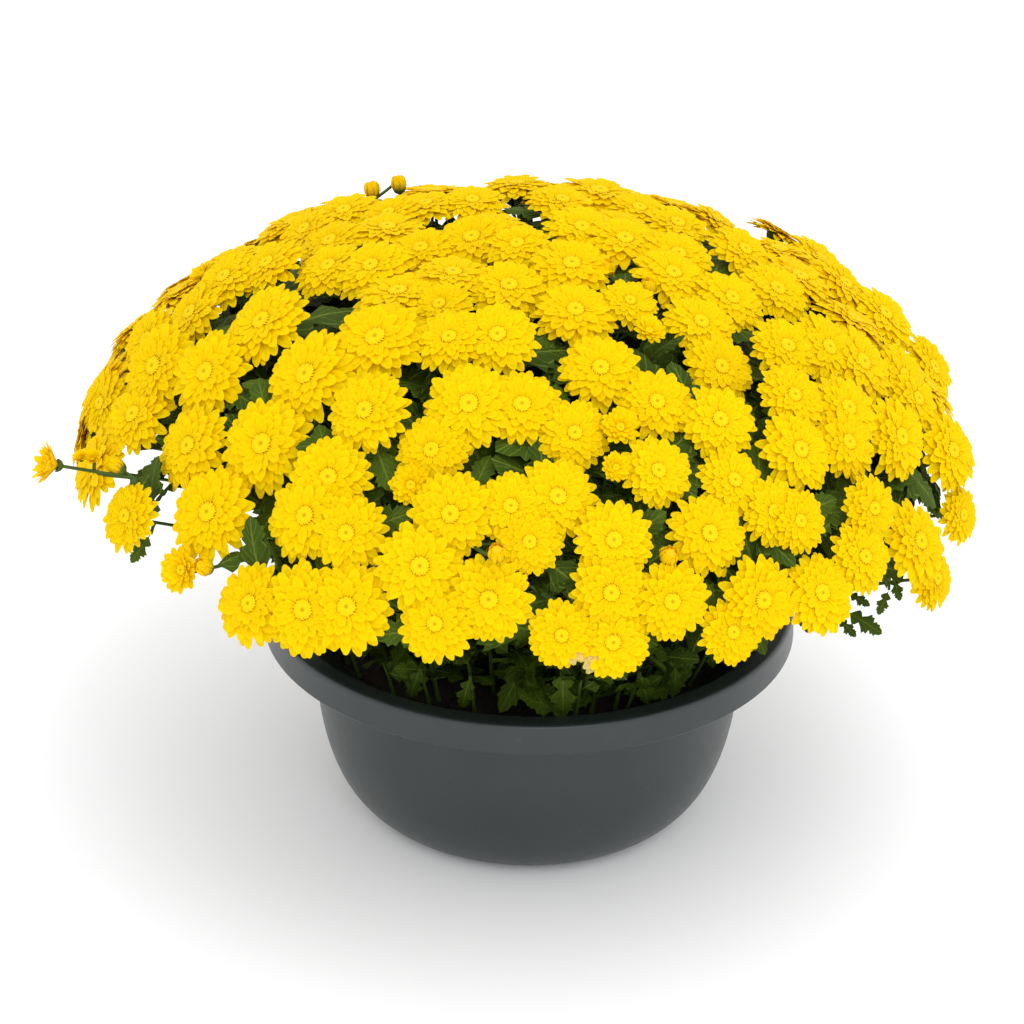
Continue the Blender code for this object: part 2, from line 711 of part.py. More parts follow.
def tube(path, radii, sides, end_axis=None):
    """A closed tube of few sides, with one ring at each point of its path."""
    points = []
    side = (path[1] - path[0]).orthogonal()
    for index, point in enumerate(path):
        along = path[min(len(path) - 1, index + 1)] - path[max(0, index - 1)]
        if end_axis and index == len(path) - 1:
            along = end_axis
        along = along.normalized()
        side = (side - side.dot(along) * along).normalized()
        other = along.cross(side)
        for step in range(sides):
            angle = math.tau * step / sides
            points.append(point + radii[index] * (math.cos(angle) * side + math.sin(angle) * other))
    faces = [tuple(reversed(range(sides)))]
    for low in range(0, (len(path) - 1) * sides, sides):
        for step in range(sides):
            ahead = (step + 1) % sides
            faces.append((low + step, low + ahead, low + sides + ahead, low + sides + step))
    faces.append(tuple(range((len(path) - 1) * sides, len(path) * sides)))
    return points, faces


def leaf(base, tip, face, grown=0.0):
    """An arched blade with two lobes to each side and a long middle one, thickest at its spine."""
    length = (tip - base).length
    along = (tip - base).normalized()
    across = along.cross(face).normalized()
    up = across.cross(along)
    other_side = [(far, -wide) for far, wide in reversed(LEAF_SIDE)]
    points = []
    for far, wide in ((0.0, 0.0), *LEAF_SIDE, (1.0, 0.0), *other_side):
        rise = LEAF_ARCH * 4 * far * (1 - far) - LEAF_DROOP * wide**2
        wide += math.copysign(grown / length, wide) if wide else 0.0
        points.append(base + length * (far * along + wide * across + rise * up))
    spine = base + length * (LEAF_SPINE * along + LEAF_ARCH * up)
    points.append(spine + (0.5 * LEAF_THICKNESS + grown) * up)
    points.append(spine - (0.5 * LEAF_THICKNESS + grown) * up)
    count = len(points) - 2
    faces = []
    for index in range(count):
        ahead = (index + 1) % count
        faces.append((index, ahead, count))
        faces.append((ahead, index, count + 1))
    return points, faces


class Growth:
    """What has grown so far, so that what comes next stays clear of it."""

    def __init__(self, fixed):
        self.trees = [(None, tree(*shape)) for shape in fixed]
        self.shapes = [[] for _ in range(STEM_COUNT)]
        self.limbs = [[] for _ in range(STEM_COUNT)]

    def clear(self, shape, stem):
        """True if the shape touches nothing, its own stem apart."""
        own = tree(*shape)
        return not any(owner != stem and own.overlap(other) for owner, other in self.trees)

    def has_room(self, blade, stem):
        """True if a leaf touches nothing but the limb that it grows on."""
        own = tree(*blade)
        touched = [owner for owner, other in self.trees if own.overlap(other)]
        return touched == [stem]

    def add(self, shape, stem, path=()):
        self.trees.append((stem, tree(*shape)))
        self.shapes[stem].append(shape)
        self.limbs[stem] += zip(path, path[1:])

    def places(self, stem):
        """Points along the stem's limbs, where a leaf may grow."""
        found = []
        for start, end in self.limbs[stem]:
            count = max(1, int((end - start).length / PLACE_STEP))
            found += [start.lerp(end, (index + 0.5) / count) for index in range(count)]
        return found


def limb(growth, stem, starts, ending, radii, sides, draw, end_axis=None):
    """Grows a limb from the first start that gives it a clear way: straight, or else with one bend.

    ending is the list of its last points, and radii has one number more.
    """
    ways = [[start] for start in starts]
    if end_axis:
        ways += [[start, ending[0] - KNEE * end_axis] for start in starts]
    for attempt in range(BEND_TRIES):
        reach = BEND_MOST * (attempt + 1) / BEND_TRIES
        shift = Vector([draw.uniform(-reach, reach) for _ in range(3)])
        start = starts[attempt % len(starts)]
        near = ending[0] - KNEE * end_axis if end_axis else (start + ending[0]) / 2
        ways.append([start, near + shift])
    for way in ways:
        path = [*way, *ending]
        widths = [radii[0]] * (len(way) - 1) + list(radii)
        if growth.clear(tube(path, [width + GAP for width in widths], sides, end_axis), stem):
            growth.add(tube(path, widths, sides, end_axis), stem, path)
            return path
    return None


def territories(groups):
    """Shares the sprays out between the stems: (each spray's stem, each stem's middle)."""
    middles = [sum(group, Vector()) / len(group) for group in groups]
    centres = []
    for index in range(STEM_COUNT):
        inner = index < INNER_STEMS
        ring = INNER_STEMS if inner else STEM_COUNT - INNER_STEMS
        angle = math.tau * (index + (0.5 if inner else 0.0)) / ring
        flat = RING_SHARES[0] if inner else RING_SHARES[1]
        unit = Vector((flat * math.cos(angle), flat * math.sin(angle), math.sqrt(1 - flat**2)))
        centres.append(DOME_CENTRE + unit * FROM_UNIT)
    for _ in range(TERRITORY_ROUNDS):
        chosen = [min(range(STEM_COUNT), key=lambda k: (centres[k] - middle).length) for middle in middles]
        for index in range(STEM_COUNT):
            carried = [middle for middle, owner in zip(middles, chosen) if owner == index]
            if carried:
                centres[index] = sum(carried, Vector()) / len(carried)
    return chosen, middles, centres


def grow_stems(growth, centres):
    """The main stems, from their holes in the soil to where they fork. Gives the holes and the forks."""
    holes, forks = [], []
    for stem, centre in enumerate(centres):
        hole = Vector((HOLE_SPREAD * centre.x, HOLE_SPREAD * centre.y, SOIL_HEIGHT - HOLE_DEPTH))
        foot = hole + Vector((0, 0, GAP))
        collar = Vector((hole.x, hole.y, SOIL_HEIGHT + COLLAR_RISE))
        fork = collar.lerp(centre, FORK_SHARE)
        radii = (STEM_RADIUS, STEM_RADIUS, STEM_TAPER * STEM_RADIUS)
        shape = tube([foot, collar, fork], radii, STEM_SIDES)
        growth.add(shape, stem, [collar, fork])
        holes.append(hole)
        forks.append(fork - ROOT_SUNK * (fork - collar).normalized())
    return holes, forks


def grow_spray(growth, stem, fork, middle, blooms, draw):
    """A branch from the stem's fork, with a stalk for each bloom of one spray."""
    starts = [fork]
    if len(blooms) > 1:
        tip = middle.lerp(fork, SPRAY_FORK_SHARE)
        path = limb(growth, stem, [fork], [tip], (BRANCH_RADIUS, BRANCH_RADIUS), BRANCH_SIDES, draw)
        start, end = path[-2], path[-1]
        top = 1 - ROOT_SUNK / (end - start).length
        count = len(blooms) - 1
        starts = [start.lerp(end, top - (top - FIRST_STALK) * index / count) for index in range(count + 1)]
    blooms = sorted(blooms, key=lambda bloom: (bloom.place - starts[0]).length)
    for index, bloom in enumerate(blooms):
        own = starts[index:] + starts[:index]
        radii = (STALK_RADIUS, CALYX_RADIUS * min(1.0, bloom.radius / FULL_BLOOM))
        limb(growth, stem, own, [bloom.base()], radii, STALK_SIDES, draw, bloom.axis)


def grow_shoot(growth, shoot, draw):
    """The shoot that leans out at the left: its branch, a stalk to each of its blooms, and its bud."""
    fork = on_dome(*SHOOT_FORK_SEEN) + SHOOT_DEPTH * sight(*SHOOT_FORK_SEEN)
    for stem, start in nearest_places(growth, fork, SHOOT_REACH)[::SHOOT_SKIP]:
        if limb(growth, stem, [start], [fork], (BRANCH_RADIUS, BRANCH_RADIUS), BRANCH_SIDES, draw):
            break
    for bloom in shoot:
        radii = (STALK_RADIUS, CALYX_RADIUS * min(1.0, bloom.radius / SHOOT_FULL_BLOOM))
        limb(growth, stem, [fork], [bloom.base()], radii, STALK_SIDES, draw, bloom.axis)
    tip = EYE + (fork - EYE).length * sight(*SHOOT_BUD_SEEN)
    along = (tip - fork).normalized()
    ending = [tip - BUD_NECK * along, tip - BUD_RADIUS * along, tip]
    limb(growth, stem, [fork], ending, BUD_RADII, BUD_SIDES, draw)


def nearest_places(growth, point, furthest, nearest=0.0):
    """(stem, place) wherever something that reaches the point may start, the nearest first."""
    found = [
        ((place - point).length, stem, place)
        for stem in range(STEM_COUNT)
        for place in growth.places(stem)
        if nearest < (place - point).length < furthest
    ]
    return [(stem, place) for _, stem, place in sorted(found, key=lambda item: item[0])]


def grow_bud(growth, place, draw):
    """A small round bud on a stalk of its own, on the first limb that gives it a clear way."""
    axis = (dome_normal(place) + Vector((0, 0, BUD_UPTURN))).normalized()
    for nearer in BUD_NEARER:
        tip = place + nearer * (EYE - place).normalized()
        ending = [tip - BUD_NECK * axis, tip - BUD_RADIUS * axis, tip]
        for stem, start in nearest_places(growth, ending[0], BUD_REACH)[:BUD_WAYS * BUD_SKIP:BUD_SKIP]:
            if limb(growth, stem, [start], ending, BUD_RADII, BUD_SIDES, draw):
                return


def grow_leaf(growth, target, face):
    """A leaf whose broad part lies over the target, on the first limb that gives it a clear place."""
    broad = LEAF_SIDE[2][0]
    for stem, place in nearest_places(growth, target, broad * LEAF_LENGTH[1], broad * LEAF_LENGTH[0]):
        tip = place + (target - place) / broad
        if growth.has_room(leaf(place, tip, face, GAP), stem):
            growth.add(leaf(place, tip, face), stem)
            return


def grow_stem_leaves(growth, stem, draw):
    """Leaves one after the other round a main stem, each turned on from the last by the golden angle."""
    start, end = growth.limbs[stem][0]
    along = (end - start).normalized()
    for index in range(STEM_LEAVES):
        place = start.lerp(end, FIRST_LEAF + (1 - FIRST_LEAF) * index / (STEM_LEAVES - 1))
        out = Matrix.Rotation(LEAF_TURN * index + stem, 3, along) @ along.orthogonal().normalized()
        length = draw.uniform(*LEAF_LENGTH)
        for droop in LEAF_DROOPS:
            tip = place + length * (out - Vector((0, 0, droop))).normalized()
            face = out * droop + Vector((0, 0, 1))
            if growth.has_room(leaf(place, tip, face, GAP), stem):
                growth.add(leaf(place, tip, face), stem)
                break


def before_axis(x, y, radius):
    """Where the line of sight enters the upright cylinder of this radius round the bowl's axis."""
    ray = sight(x, y)
    flat = Vector((ray.x, ray.y))
    start = Vector((EYE.x, EYE.y))
    along = -start.dot(flat) / flat.length_squared
    inside = radius**2 - (start + along * flat).length_squared
    along -= math.sqrt(max(0.0, inside) / flat.length_squared)
    return EYE + along * ray


def leaf_targets(draw):
    """(place, face) for each leaf in the openings, and for those that the picture shows under them."""
    found = []
    for place, _ in openings(draw)[len(SEEN_BARE):]:
        found.append((place - LEAF_DEPTH * dome_normal(place), dome_normal(place)))
    for x, y in SEEN_SKIRT:
        place = before_axis(x, y, SKIRT_REACH)
        outward = Vector((place.x, place.y, SKIRT_LEAN * place.z)).normalized()
        found.append((place, (outward + SKIRT_TURN * (EYE - place).normalized()).normalized()))
    return found


def grow(blooms, shoot, bowl, filling, draw):
    """Stems, branches, stalks, buds and leaves, each clear of the blooms and of the other stems."""
    growth = Growth([bloom.solid(CLEAR_GROWTH) for bloom in blooms + shoot] + [bowl])
    sprays = sorted({bloom.spray for bloom in blooms})
    members = [[bloom for bloom in blooms if bloom.spray == spray] for spray in sprays]
    chosen, middles, centres = territories([[bloom.place for bloom in group] for group in members])
    holes, forks = grow_stems(growth, centres)
    for stem, middle, group in zip(chosen, middles, members):
        grow_spray(growth, stem, forks[stem], middle, group, draw)
    grow_shoot(growth, shoot, draw)
    for x, y in SEEN_BUDS:
        grow_bud(growth, on_dome(x, y), draw)
    growth.trees.append((None, tree(*filling)))
    for place, face in leaf_targets(draw):
        grow_leaf(growth, place, face)
    for stem in range(STEM_COUNT):
        grow_stem_leaves(growth, stem, draw)
    return growth.shapes, holes


def place_blooms(draw):
    """All the blooms that the dome holds, each with the number of its spray."""
    blooms = seen_blooms(draw)
    fill_dome(blooms, draw)
    links = join_in_sprays(blooms)
    settle(blooms, links)
    clear_sprays(blooms, links)
    return blooms


def cut_holes(soil, holes):
    """A plain hole in the soil for each stem."""
    rise = Vector((0, 0, HOLE_DEPTH + COLLAR_RISE + SOIL_LUMP))
    radius = STEM_RADIUS + HOLE_ROOM
    cutters = [tube([hole, hole + rise], (radius, radius), STEM_SIDES) for hole in holes]
    boolean(soil, cutters, "DIFFERENCE", "EXACT")


def main():
    clear_scene()
    draw = random.Random(SEED)
    bowl = turned(bowl_profile(), BOWL_SEGMENTS)
    mesh_object("pot", *bowl, material("slate_plastic", SLATE, PLASTIC_ROUGHNESS))
    filling = soil_solid(draw)
    soil = mesh_object("soil", *filling, material("potting_mix", SOIL, SOIL_ROUGHNESS))

    blooms = place_blooms(draw)
    shoot = shoot_blooms(len(blooms))
    greens, holes = grow(blooms, shoot, bowl, filling, draw)
    cut_holes(soil, holes)
    foliage = material("green_foliage", GREEN, PLANT_ROUGHNESS)
    for number, shapes in enumerate(greens, 1):
        fused(f"leafy_stem_{number:02d}", shapes, foliage)

    petals = material("yellow_petals", YELLOW, PLANT_ROUGHNESS)
    blooms += shoot
    for number, spray in enumerate(sorted({bloom.spray for bloom in blooms}), 1):
        solids = [bloom.solid() for bloom in blooms if bloom.spray == spray]
        fused(f"spray_{number:02d}", solids, petals)


main()
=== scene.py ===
"""Pot chrysanthemum, the looks: a slate bowl of potting mix, forking leafy stems, a dome of yellow blooms.

Metres, +Z up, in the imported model's frame. The plant grows here by the same rules and the same seeded draws
as in its source, so each finer piece lies where the solid that it replaces does.
"""

import math
import random

import bpy
import numpy as np
from mathutils import Matrix, Vector
from mathutils.bvhtree import BVHTree


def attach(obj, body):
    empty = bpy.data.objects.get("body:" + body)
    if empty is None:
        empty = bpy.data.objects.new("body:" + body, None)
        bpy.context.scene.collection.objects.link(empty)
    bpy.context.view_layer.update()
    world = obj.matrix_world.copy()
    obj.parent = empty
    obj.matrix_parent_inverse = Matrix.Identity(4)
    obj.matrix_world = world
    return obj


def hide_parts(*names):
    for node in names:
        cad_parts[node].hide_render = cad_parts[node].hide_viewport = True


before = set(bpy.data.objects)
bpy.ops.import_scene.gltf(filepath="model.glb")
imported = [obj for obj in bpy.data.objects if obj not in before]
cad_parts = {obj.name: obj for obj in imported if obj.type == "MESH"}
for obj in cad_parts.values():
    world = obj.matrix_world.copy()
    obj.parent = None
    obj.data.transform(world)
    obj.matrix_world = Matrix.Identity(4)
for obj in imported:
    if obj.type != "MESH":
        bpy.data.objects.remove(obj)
bpy.ops.object.select_all(action="DESELECT")
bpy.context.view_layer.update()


# The camera
# It stands where the picture was taken from, a metre and a half off, and looks down on the plant.
# A line of sight through a place of the picture leads to the blooms that were read off it.
VIEW_PITCH = math.radians(26.8)
VIEW_ROLL = math.radians(1.17)  # what lies to the right is seen a little lower
VIEW_DISTANCE = 1.5
SIGHT_LENGTH = 2870.0  # in pixels
PICTURE_SIZE = 1024
PICTURE_MIDDLE = 512.0
SENSOR_WIDTH = 36.0  # in millimetres
BAND_FOOT = 0.1010
COLLAR_CENTRE = Vector((0.0, 0.0, BAND_FOOT))
COLLAR_SEEN_AT = (528.7, 617.8)
LOOK = Vector((0.0, math.cos(VIEW_PITCH), -math.sin(VIEW_PITCH)))
LEVEL_UP = Vector((0.0, math.sin(VIEW_PITCH), math.cos(VIEW_PITCH)))
LOOK_RIGHT = math.cos(VIEW_ROLL) * Vector((1.0, 0.0, 0.0)) + math.sin(VIEW_ROLL) * LEVEL_UP
LOOK_UP = math.cos(VIEW_ROLL) * LEVEL_UP - math.sin(VIEW_ROLL) * Vector((1.0, 0.0, 0.0))


def sight(x, y):
    """The direction in which a place of the picture is seen."""
    right = (x - PICTURE_MIDDLE) / SIGHT_LENGTH
    up = (PICTURE_MIDDLE - y) / SIGHT_LENGTH
    return (LOOK + right * LOOK_RIGHT + up * LOOK_UP).normalized()


def polar(radius, turn, height=0.0):
    """A point by its distance from the upright axis, its turn round it and its height."""
    return Vector((radius * math.cos(turn), radius * math.sin(turn), height))


EYE = COLLAR_CENTRE - VIEW_DISTANCE * sight(*COLLAR_SEEN_AT)

view = Matrix((LOOK_RIGHT, LOOK_UP, -LOOK)).transposed()
bpy.ops.object.camera_add(location=EYE, rotation=view.to_euler())
camera = bpy.context.object
camera.name = "camera"
camera.data.sensor_width = SENSOR_WIDTH
camera.data.lens = SENSOR_WIDTH * SIGHT_LENGTH / PICTURE_SIZE
camera.data.clip_end = 50.0
bpy.context.scene.camera = camera


# The bowl
# A low planter, injection moulded in one piece from polypropylene in dark slate grey.
# A broad flat band hangs from its turned-in lip, and its body is a smooth tapering curve.
BASE_RADIUS = 0.0711
BODY_RADIUS = 0.1109  # just under the band
BAND_RADIUS = 0.1378
BAND_WALL = 0.0026
LIP_HEIGHT = 0.1174
LIP_OUTER = 0.1346
LIP_INNER = 0.1272
BOWL_WALL = 0.0028
BOWL_FLOOR = 0.0035
SHELF = ((0.010, 0.0045), (0.0241, 0.0062))  # under the band: (out from the body, up from its foot)
BAND_EASE = 0.0006  # the band leans in by this much towards its top
BAND_ROUND = 0.0035
LIP_TURN = (0.0022, 0.0060)  # the lip's inner edge: (in, down)
BULGE = (0.0022, 0.73)  # the upper handle of the body's curve: (out, share of its height)
FOOT_ROUND = 0.0035
FOOT_RING = 0.0065  # the width of the ring that the bowl stands on
FOOT_RISE = 0.0012  # the underside inside that ring lies higher by this much
EDGE_DROP = 0.001  # how far the round of the band's lower edge hangs down
EDGE_HANDLE = 0.65  # its handle's place, as a share of the band's wall
EDGE_ROUND = 0.0012  # the size of the rounds there and at the lip's inner edge
LIP_EASE = 0.15  # how much of its turn the lip's edge has made under its round
BODY_STEPS = 36
BOWL_STEPS = 144  # round the axis


def blend(weights, points):
    """The weighted sum of points of a section, each a (radius, height)."""
    return tuple(sum(weight * point[axis] for weight, point in zip(weights, points)) for axis in (0, 1))


def body_curve(share):
    """(radius, height) of the bowl's outside at a share of the way from its base to the band."""
    ends = (
        (BASE_RADIUS, 0.0),
        (BODY_RADIUS, 0.0),
        (BODY_RADIUS + BULGE[0], BULGE[1] * BAND_FOOT),
        (BODY_RADIUS, BAND_FOOT),
    )
    weights = (
        (1 - share) ** 3,
        3 * (1 - share) ** 2 * share,
        3 * (1 - share) * share**2,
        share**3,
    )
    return blend(weights, ends)


def inner_curve(share):
    """(radius, height) of the bowl's inside, one wall in from its outside."""
    radius, height = body_curve(share)
    rise = BOWL_FLOOR * (1 - share) ** 2
    return radius - BOWL_WALL, height + rise


def arc(start, corner, end, steps=5):
    """Points of a round corner between two edges, as a curve with the corner as its handle."""
    made = []
    for step in range(steps + 1):
        share = step / steps
        weights = ((1 - share) ** 2, 2 * (1 - share) * share, share**2)
        made.append(blend(weights, (start, corner, end)))
    return made


def lathe(name, profile, steps):
    """Extrudes a point along a profile of (radius, height), and spins it round the bowl's axis."""
    radius, height = profile[0]
    bpy.ops.mesh.primitive_plane_add(size=0.01, location=(radius, 0.0, height))
    made = bpy.context.object
    made.name = name
    bpy.ops.object.transform_apply(location=True)
    bpy.ops.object.mode_set(mode="EDIT")
    bpy.ops.mesh.select_all(action="SELECT")
    bpy.ops.mesh.merge(type="CENTER")
    for ahead in profile[1:]:
        step = (ahead[0] - radius, 0.0, ahead[1] - height)
        bpy.ops.mesh.extrude_region_move(TRANSFORM_OT_translate={"value": step})
        radius, height = ahead
    bpy.ops.mesh.select_all(action="SELECT")
    bpy.ops.mesh.spin(steps=steps, angle=math.tau, center=(0.0, 0.0, 0.0), axis=(0.0, 0.0, 1.0))
    bpy.ops.mesh.select_all(action="SELECT")
    bpy.ops.mesh.remove_doubles(threshold=0.00002)
    bpy.ops.mesh.normals_make_consistent(inside=False)
    bpy.ops.object.mode_set(mode="OBJECT")
    return made


def shade(piece, degrees=35):
    """Smooth shading, but for edges that turn by more than this."""
    bpy.ops.object.select_all(action="DESELECT")
    piece.select_set(True)
    bpy.context.view_layer.objects.active = piece
    bpy.ops.object.shade_smooth_by_angle(angle=math.radians(degrees))
    piece.select_set(False)


def shape_of(made):
    """The points and the faces of an object."""
    points = np.array([point.co for point in made.data.vertices])
    return points, [tuple(face.vertices) for face in made.data.polygons]


def colour(code):
    """The linear colour of an sRGB hex code."""
    parts = [int(code[place:place + 2], 16) / 255 for place in (1, 3, 5)]
    linear = [((part + 0.055) / 1.055) ** 2.4 if part > 0.04045 else part / 12.92 for part in parts]
    return (*linear, 1.0)


def feed(node, inputs):
    """Sets inputs of a node, each to a value, an output, or the first output in use of another node."""
    for name, value in inputs.items():
        if isinstance(value, bpy.types.Node):
            value = next(output for output in value.outputs if output.enabled)
        if isinstance(value, bpy.types.NodeSocket):
            node.id_data.links.new(value, node.inputs[name])
        else:
            node.inputs[name].default_value = value


def add_node(tree, kind, inputs, **settings):
    """Adds a shader node with its settings and what feeds it."""
    made = tree.nodes.new("ShaderNode" + kind)
    for name, value in settings.items():
        setattr(made, name, value)
    feed(made, inputs)
    return made


def new_material(name, roughness, ior=1.45, specular=0.5):
    """A material with its shader's constants set: (material, its tree, its shader)."""
    made = bpy.data.materials.new(name)
    made.use_nodes = True
    shader = made.node_tree.nodes["Principled BSDF"]
    shader.inputs["Roughness"].default_value = roughness
    shader.inputs["IOR"].default_value = ior
    shader.inputs["Specular IOR Level"].default_value = specular
    return made, made.node_tree, shader


def bowl_section():
    """The bowl's section, from the middle of its underside round to the middle of its floor."""
    ring = BASE_RADIUS - FOOT_RING
    foot = [(0.0, FOOT_RISE), (ring - FOOT_RISE, FOOT_RISE), (ring, 0.0)]
    body = [body_curve(step / BODY_STEPS) for step in range(BODY_STEPS + 1)]
    body = [point for point in body if point[1] > FOOT_ROUND]
    foot += arc((BASE_RADIUS - FOOT_ROUND, 0.0), (BASE_RADIUS, 0.0), body[0])
    shelf = [(BODY_RADIUS + out, BAND_FOOT + up) for out, up in SHELF]
    under = arc(
        (BAND_RADIUS - BAND_WALL, BAND_FOOT + EDGE_DROP),
        (BAND_RADIUS - EDGE_HANDLE * BAND_WALL, BAND_FOOT - EDGE_DROP),
        (BAND_RADIUS, BAND_FOOT + EDGE_ROUND),
    )
    band_top = BAND_RADIUS - BAND_EASE
    top = arc((band_top, LIP_HEIGHT - BAND_ROUND), (band_top, LIP_HEIGHT), (LIP_OUTER, LIP_HEIGHT), 8)
    turn = arc(
        (LIP_INNER + EDGE_ROUND, LIP_HEIGHT),
        (LIP_INNER, LIP_HEIGHT),
        (LIP_INNER - LIP_EASE * LIP_TURN[0], LIP_HEIGHT - EDGE_ROUND),
    )
    lip = [(LIP_INNER - LIP_TURN[0], LIP_HEIGHT - LIP_TURN[1])]
    inside = [inner_curve(step / BODY_STEPS) for step in reversed(range(BODY_STEPS + 1))]
    return [*foot, *body[1:], *shelf, *under, *top, *turn, *lip, *inside, (0.0, BOWL_FLOOR)]


bowl = lathe("bowl", bowl_section(), BOWL_STEPS)
shade(bowl)

# Moulded polypropylene, satin from a finely etched mould. Pigment and flow give it faint clouds,
# and handling leaves dull scuffs. The grain is 0.4 mm, drawn a little coarse so that it shows.
polypropylene, tree, shader = new_material("moulded_polypropylene", 0.36, 1.49, 0.55)
where = add_node(tree, "TexCoord", {}).outputs["Object"]
clouds = add_node(tree, "TexNoise", {"Vector": where, "Scale": 28.0, "Detail": 3.0})
scuffs = add_node(tree, "TexNoise", {"Vector": where, "Scale": 160.0, "Detail": 5.0, "Roughness": 0.7})
grain = add_node(tree, "TexNoise", {"Vector": where, "Scale": 2500.0, "Detail": 1.0})
tint = add_node(tree, "Mix", {0: clouds, 6: colour("#1F2526"), 7: colour("#272E30")}, data_type="RGBA")
worn = add_node(tree, "MapRange", {"Value": scuffs, "From Min": 0.62, "From Max": 0.80, "To Max": 0.35})
dusty = add_node(tree, "Mix", {0: worn, 6: tint, 7: colour("#565C5D")}, data_type="RGBA")
gloss = add_node(tree, "MapRange", {"Value": scuffs, "To Min": 0.28, "To Max": 0.46})
bump = add_node(tree, "Bump", {"Height": grain, "Strength": 0.12, "Distance": 0.0002})
feed(shader, {"Base Color": dusty, "Roughness": gloss, "Normal": bump})
bowl.data.materials.append(polypropylene)
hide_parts("pot")
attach(bowl, "root")


# The potting mix
# Peat and composted bark, nearly black when moist. It fills the bowl to 2 cm under the lip, its top
# has the same broad lumps as the solid, and crumbs of bark lie on it.
SEED = 11
SOIL_HEIGHT = 0.1000
SOIL_LUMP = 0.0022
SOIL_EDGE_DROP = 0.004  # how far its edge sinks at the wall
SOIL_EDGE = 0.22  # and over what share of the way in
SOIL_RINGS = (0.78, 0.45)  # of the top, as shares of its radius
SOIL_SEGMENTS = 14
GAP = 0.0003  # between pieces that touch
SOIL_STEPS = 112  # round the axis
SOIL_SIDE_STEPS = 6
SOIL_RISE_STEPS = 30
SOIL_ROUGH = 0.0032  # how far the small lumps rise and sink
SOIL_ROUGH_SIZE = 0.007
SOIL_SMOOTH = 0.006  # they fade out this close to the wall
CRUMBS = 420
CRUMB_REACH = 0.97  # how far out they lie, as a share of the top's radius
CRUMB_RADIUS = (0.0009, 0.0028)
CRUMB_FLAT = (0.55, 1.0)  # each way of a crumb is shortened by a share in this range
CRUMB_ROUGH = (0.75, 1.15)  # and each corner is moved by one in this
CRUMB_LIFT = 0.3

draw = random.Random(SEED)
broad_lumps = [[draw.uniform(-SOIL_LUMP, SOIL_LUMP) for _ in range(SOIL_SEGMENTS)] for _ in SOIL_RINGS]
top_radius = inner_curve(1.0)[0] - 2 * GAP


def soil_lump(x, y):
    """How far the solid's broad lumps raise the mix at this place."""
    share = math.hypot(x, y) / top_radius
    turn = math.atan2(y, x) / math.tau % 1.0 * SOIL_SEGMENTS
    low, part = int(turn) % SOIL_SEGMENTS, turn % 1.0
    rings = [ring[low] * (1 - part) + ring[(low + 1) % SOIL_SEGMENTS] * part for ring in broad_lumps]
    return float(np.interp(share, (0.0, SOIL_RINGS[1], SOIL_RINGS[0], 1.0), (0.0, rings[1], rings[0], 0.0)))


soil_side = [inner_curve(step / SOIL_SIDE_STEPS) for step in range(SOIL_SIDE_STEPS)]
soil_side = [(radius - GAP, height + GAP) for radius, height in soil_side]
soil_top = [(top_radius * (1 - step / SOIL_RISE_STEPS),
             SOIL_HEIGHT - SOIL_EDGE_DROP * max(0.0, 1 - step / (SOIL_EDGE * SOIL_RISE_STEPS)))
            for step in range(SOIL_RISE_STEPS + 1)]
soil = lathe("potting_mix", [(0.0, BOWL_FLOOR + GAP), *soil_side, *soil_top], SOIL_STEPS)
top_points = soil.vertex_groups.new(name="top")
top_from = SOIL_HEIGHT - 1.05 * SOIL_EDGE_DROP  # just under its edge
for point in soil.data.vertices:
    if point.co.z > top_from:
        edge = min(1.0, (top_radius - math.hypot(point.co.x, point.co.y)) / SOIL_SMOOTH)
        point.co.z += soil_lump(point.co.x, point.co.y)
        top_points.add([point.index], max(0.0, edge), "REPLACE")
lumps = bpy.data.textures.new("small_lumps", "CLOUDS")
lumps.noise_scale = SOIL_ROUGH_SIZE
lumps.noise_depth = 3
raised = soil.modifiers.new("small_lumps", "DISPLACE")
raised.texture = lumps
raised.texture_coords = "LOCAL"
raised.direction = "Z"
raised.strength = 2 * SOIL_ROUGH
raised.vertex_group = "top"
bpy.context.view_layer.objects.active = soil
bpy.ops.object.modifier_apply(modifier="small_lumps")

bpy.ops.mesh.primitive_ico_sphere_add(subdivisions=1, radius=1.0)
crumb = bpy.context.object
crumb_points, crumb_faces = shape_of(crumb)
bpy.data.objects.remove(crumb, do_unlink=True)
crumb_draw = np.random.default_rng(SEED)
surface = BVHTree.FromObject(soil, bpy.context.evaluated_depsgraph_get())
points, faces = [], []
for index in range(CRUMBS):
    turn = crumb_draw.uniform(0, math.tau)
    reach = CRUMB_REACH * top_radius * math.sqrt(crumb_draw.uniform(0, 1))
    spot = surface.ray_cast(polar(reach, turn, 2 * SOIL_HEIGHT), Vector((0, 0, -1)))[0]
    size = crumb_draw.uniform(*CRUMB_RADIUS) * crumb_draw.uniform(*CRUMB_FLAT, 3)
    shape = crumb_points * size * crumb_draw.uniform(*CRUMB_ROUGH, (len(crumb_points), 1))
    spin = np.array(Matrix.Rotation(crumb_draw.uniform(0, math.tau), 3, Vector(crumb_draw.normal(size=3))))
    points.append(shape @ spin.T + np.array(spot) + (0, 0, CRUMB_LIFT * size[2]))
    faces.append(np.array(crumb_faces) + index * len(crumb_points))
crumbs = bpy.data.meshes.new("bark_crumbs")
crumbs.from_pydata(np.concatenate(points).tolist(), [], np.concatenate(faces).tolist())
bark_crumbs = bpy.data.objects.new("bark_crumbs", crumbs)
bpy.context.scene.collection.objects.link(bark_crumbs)
shade(soil, 60)
shade(bark_crumbs, 30)

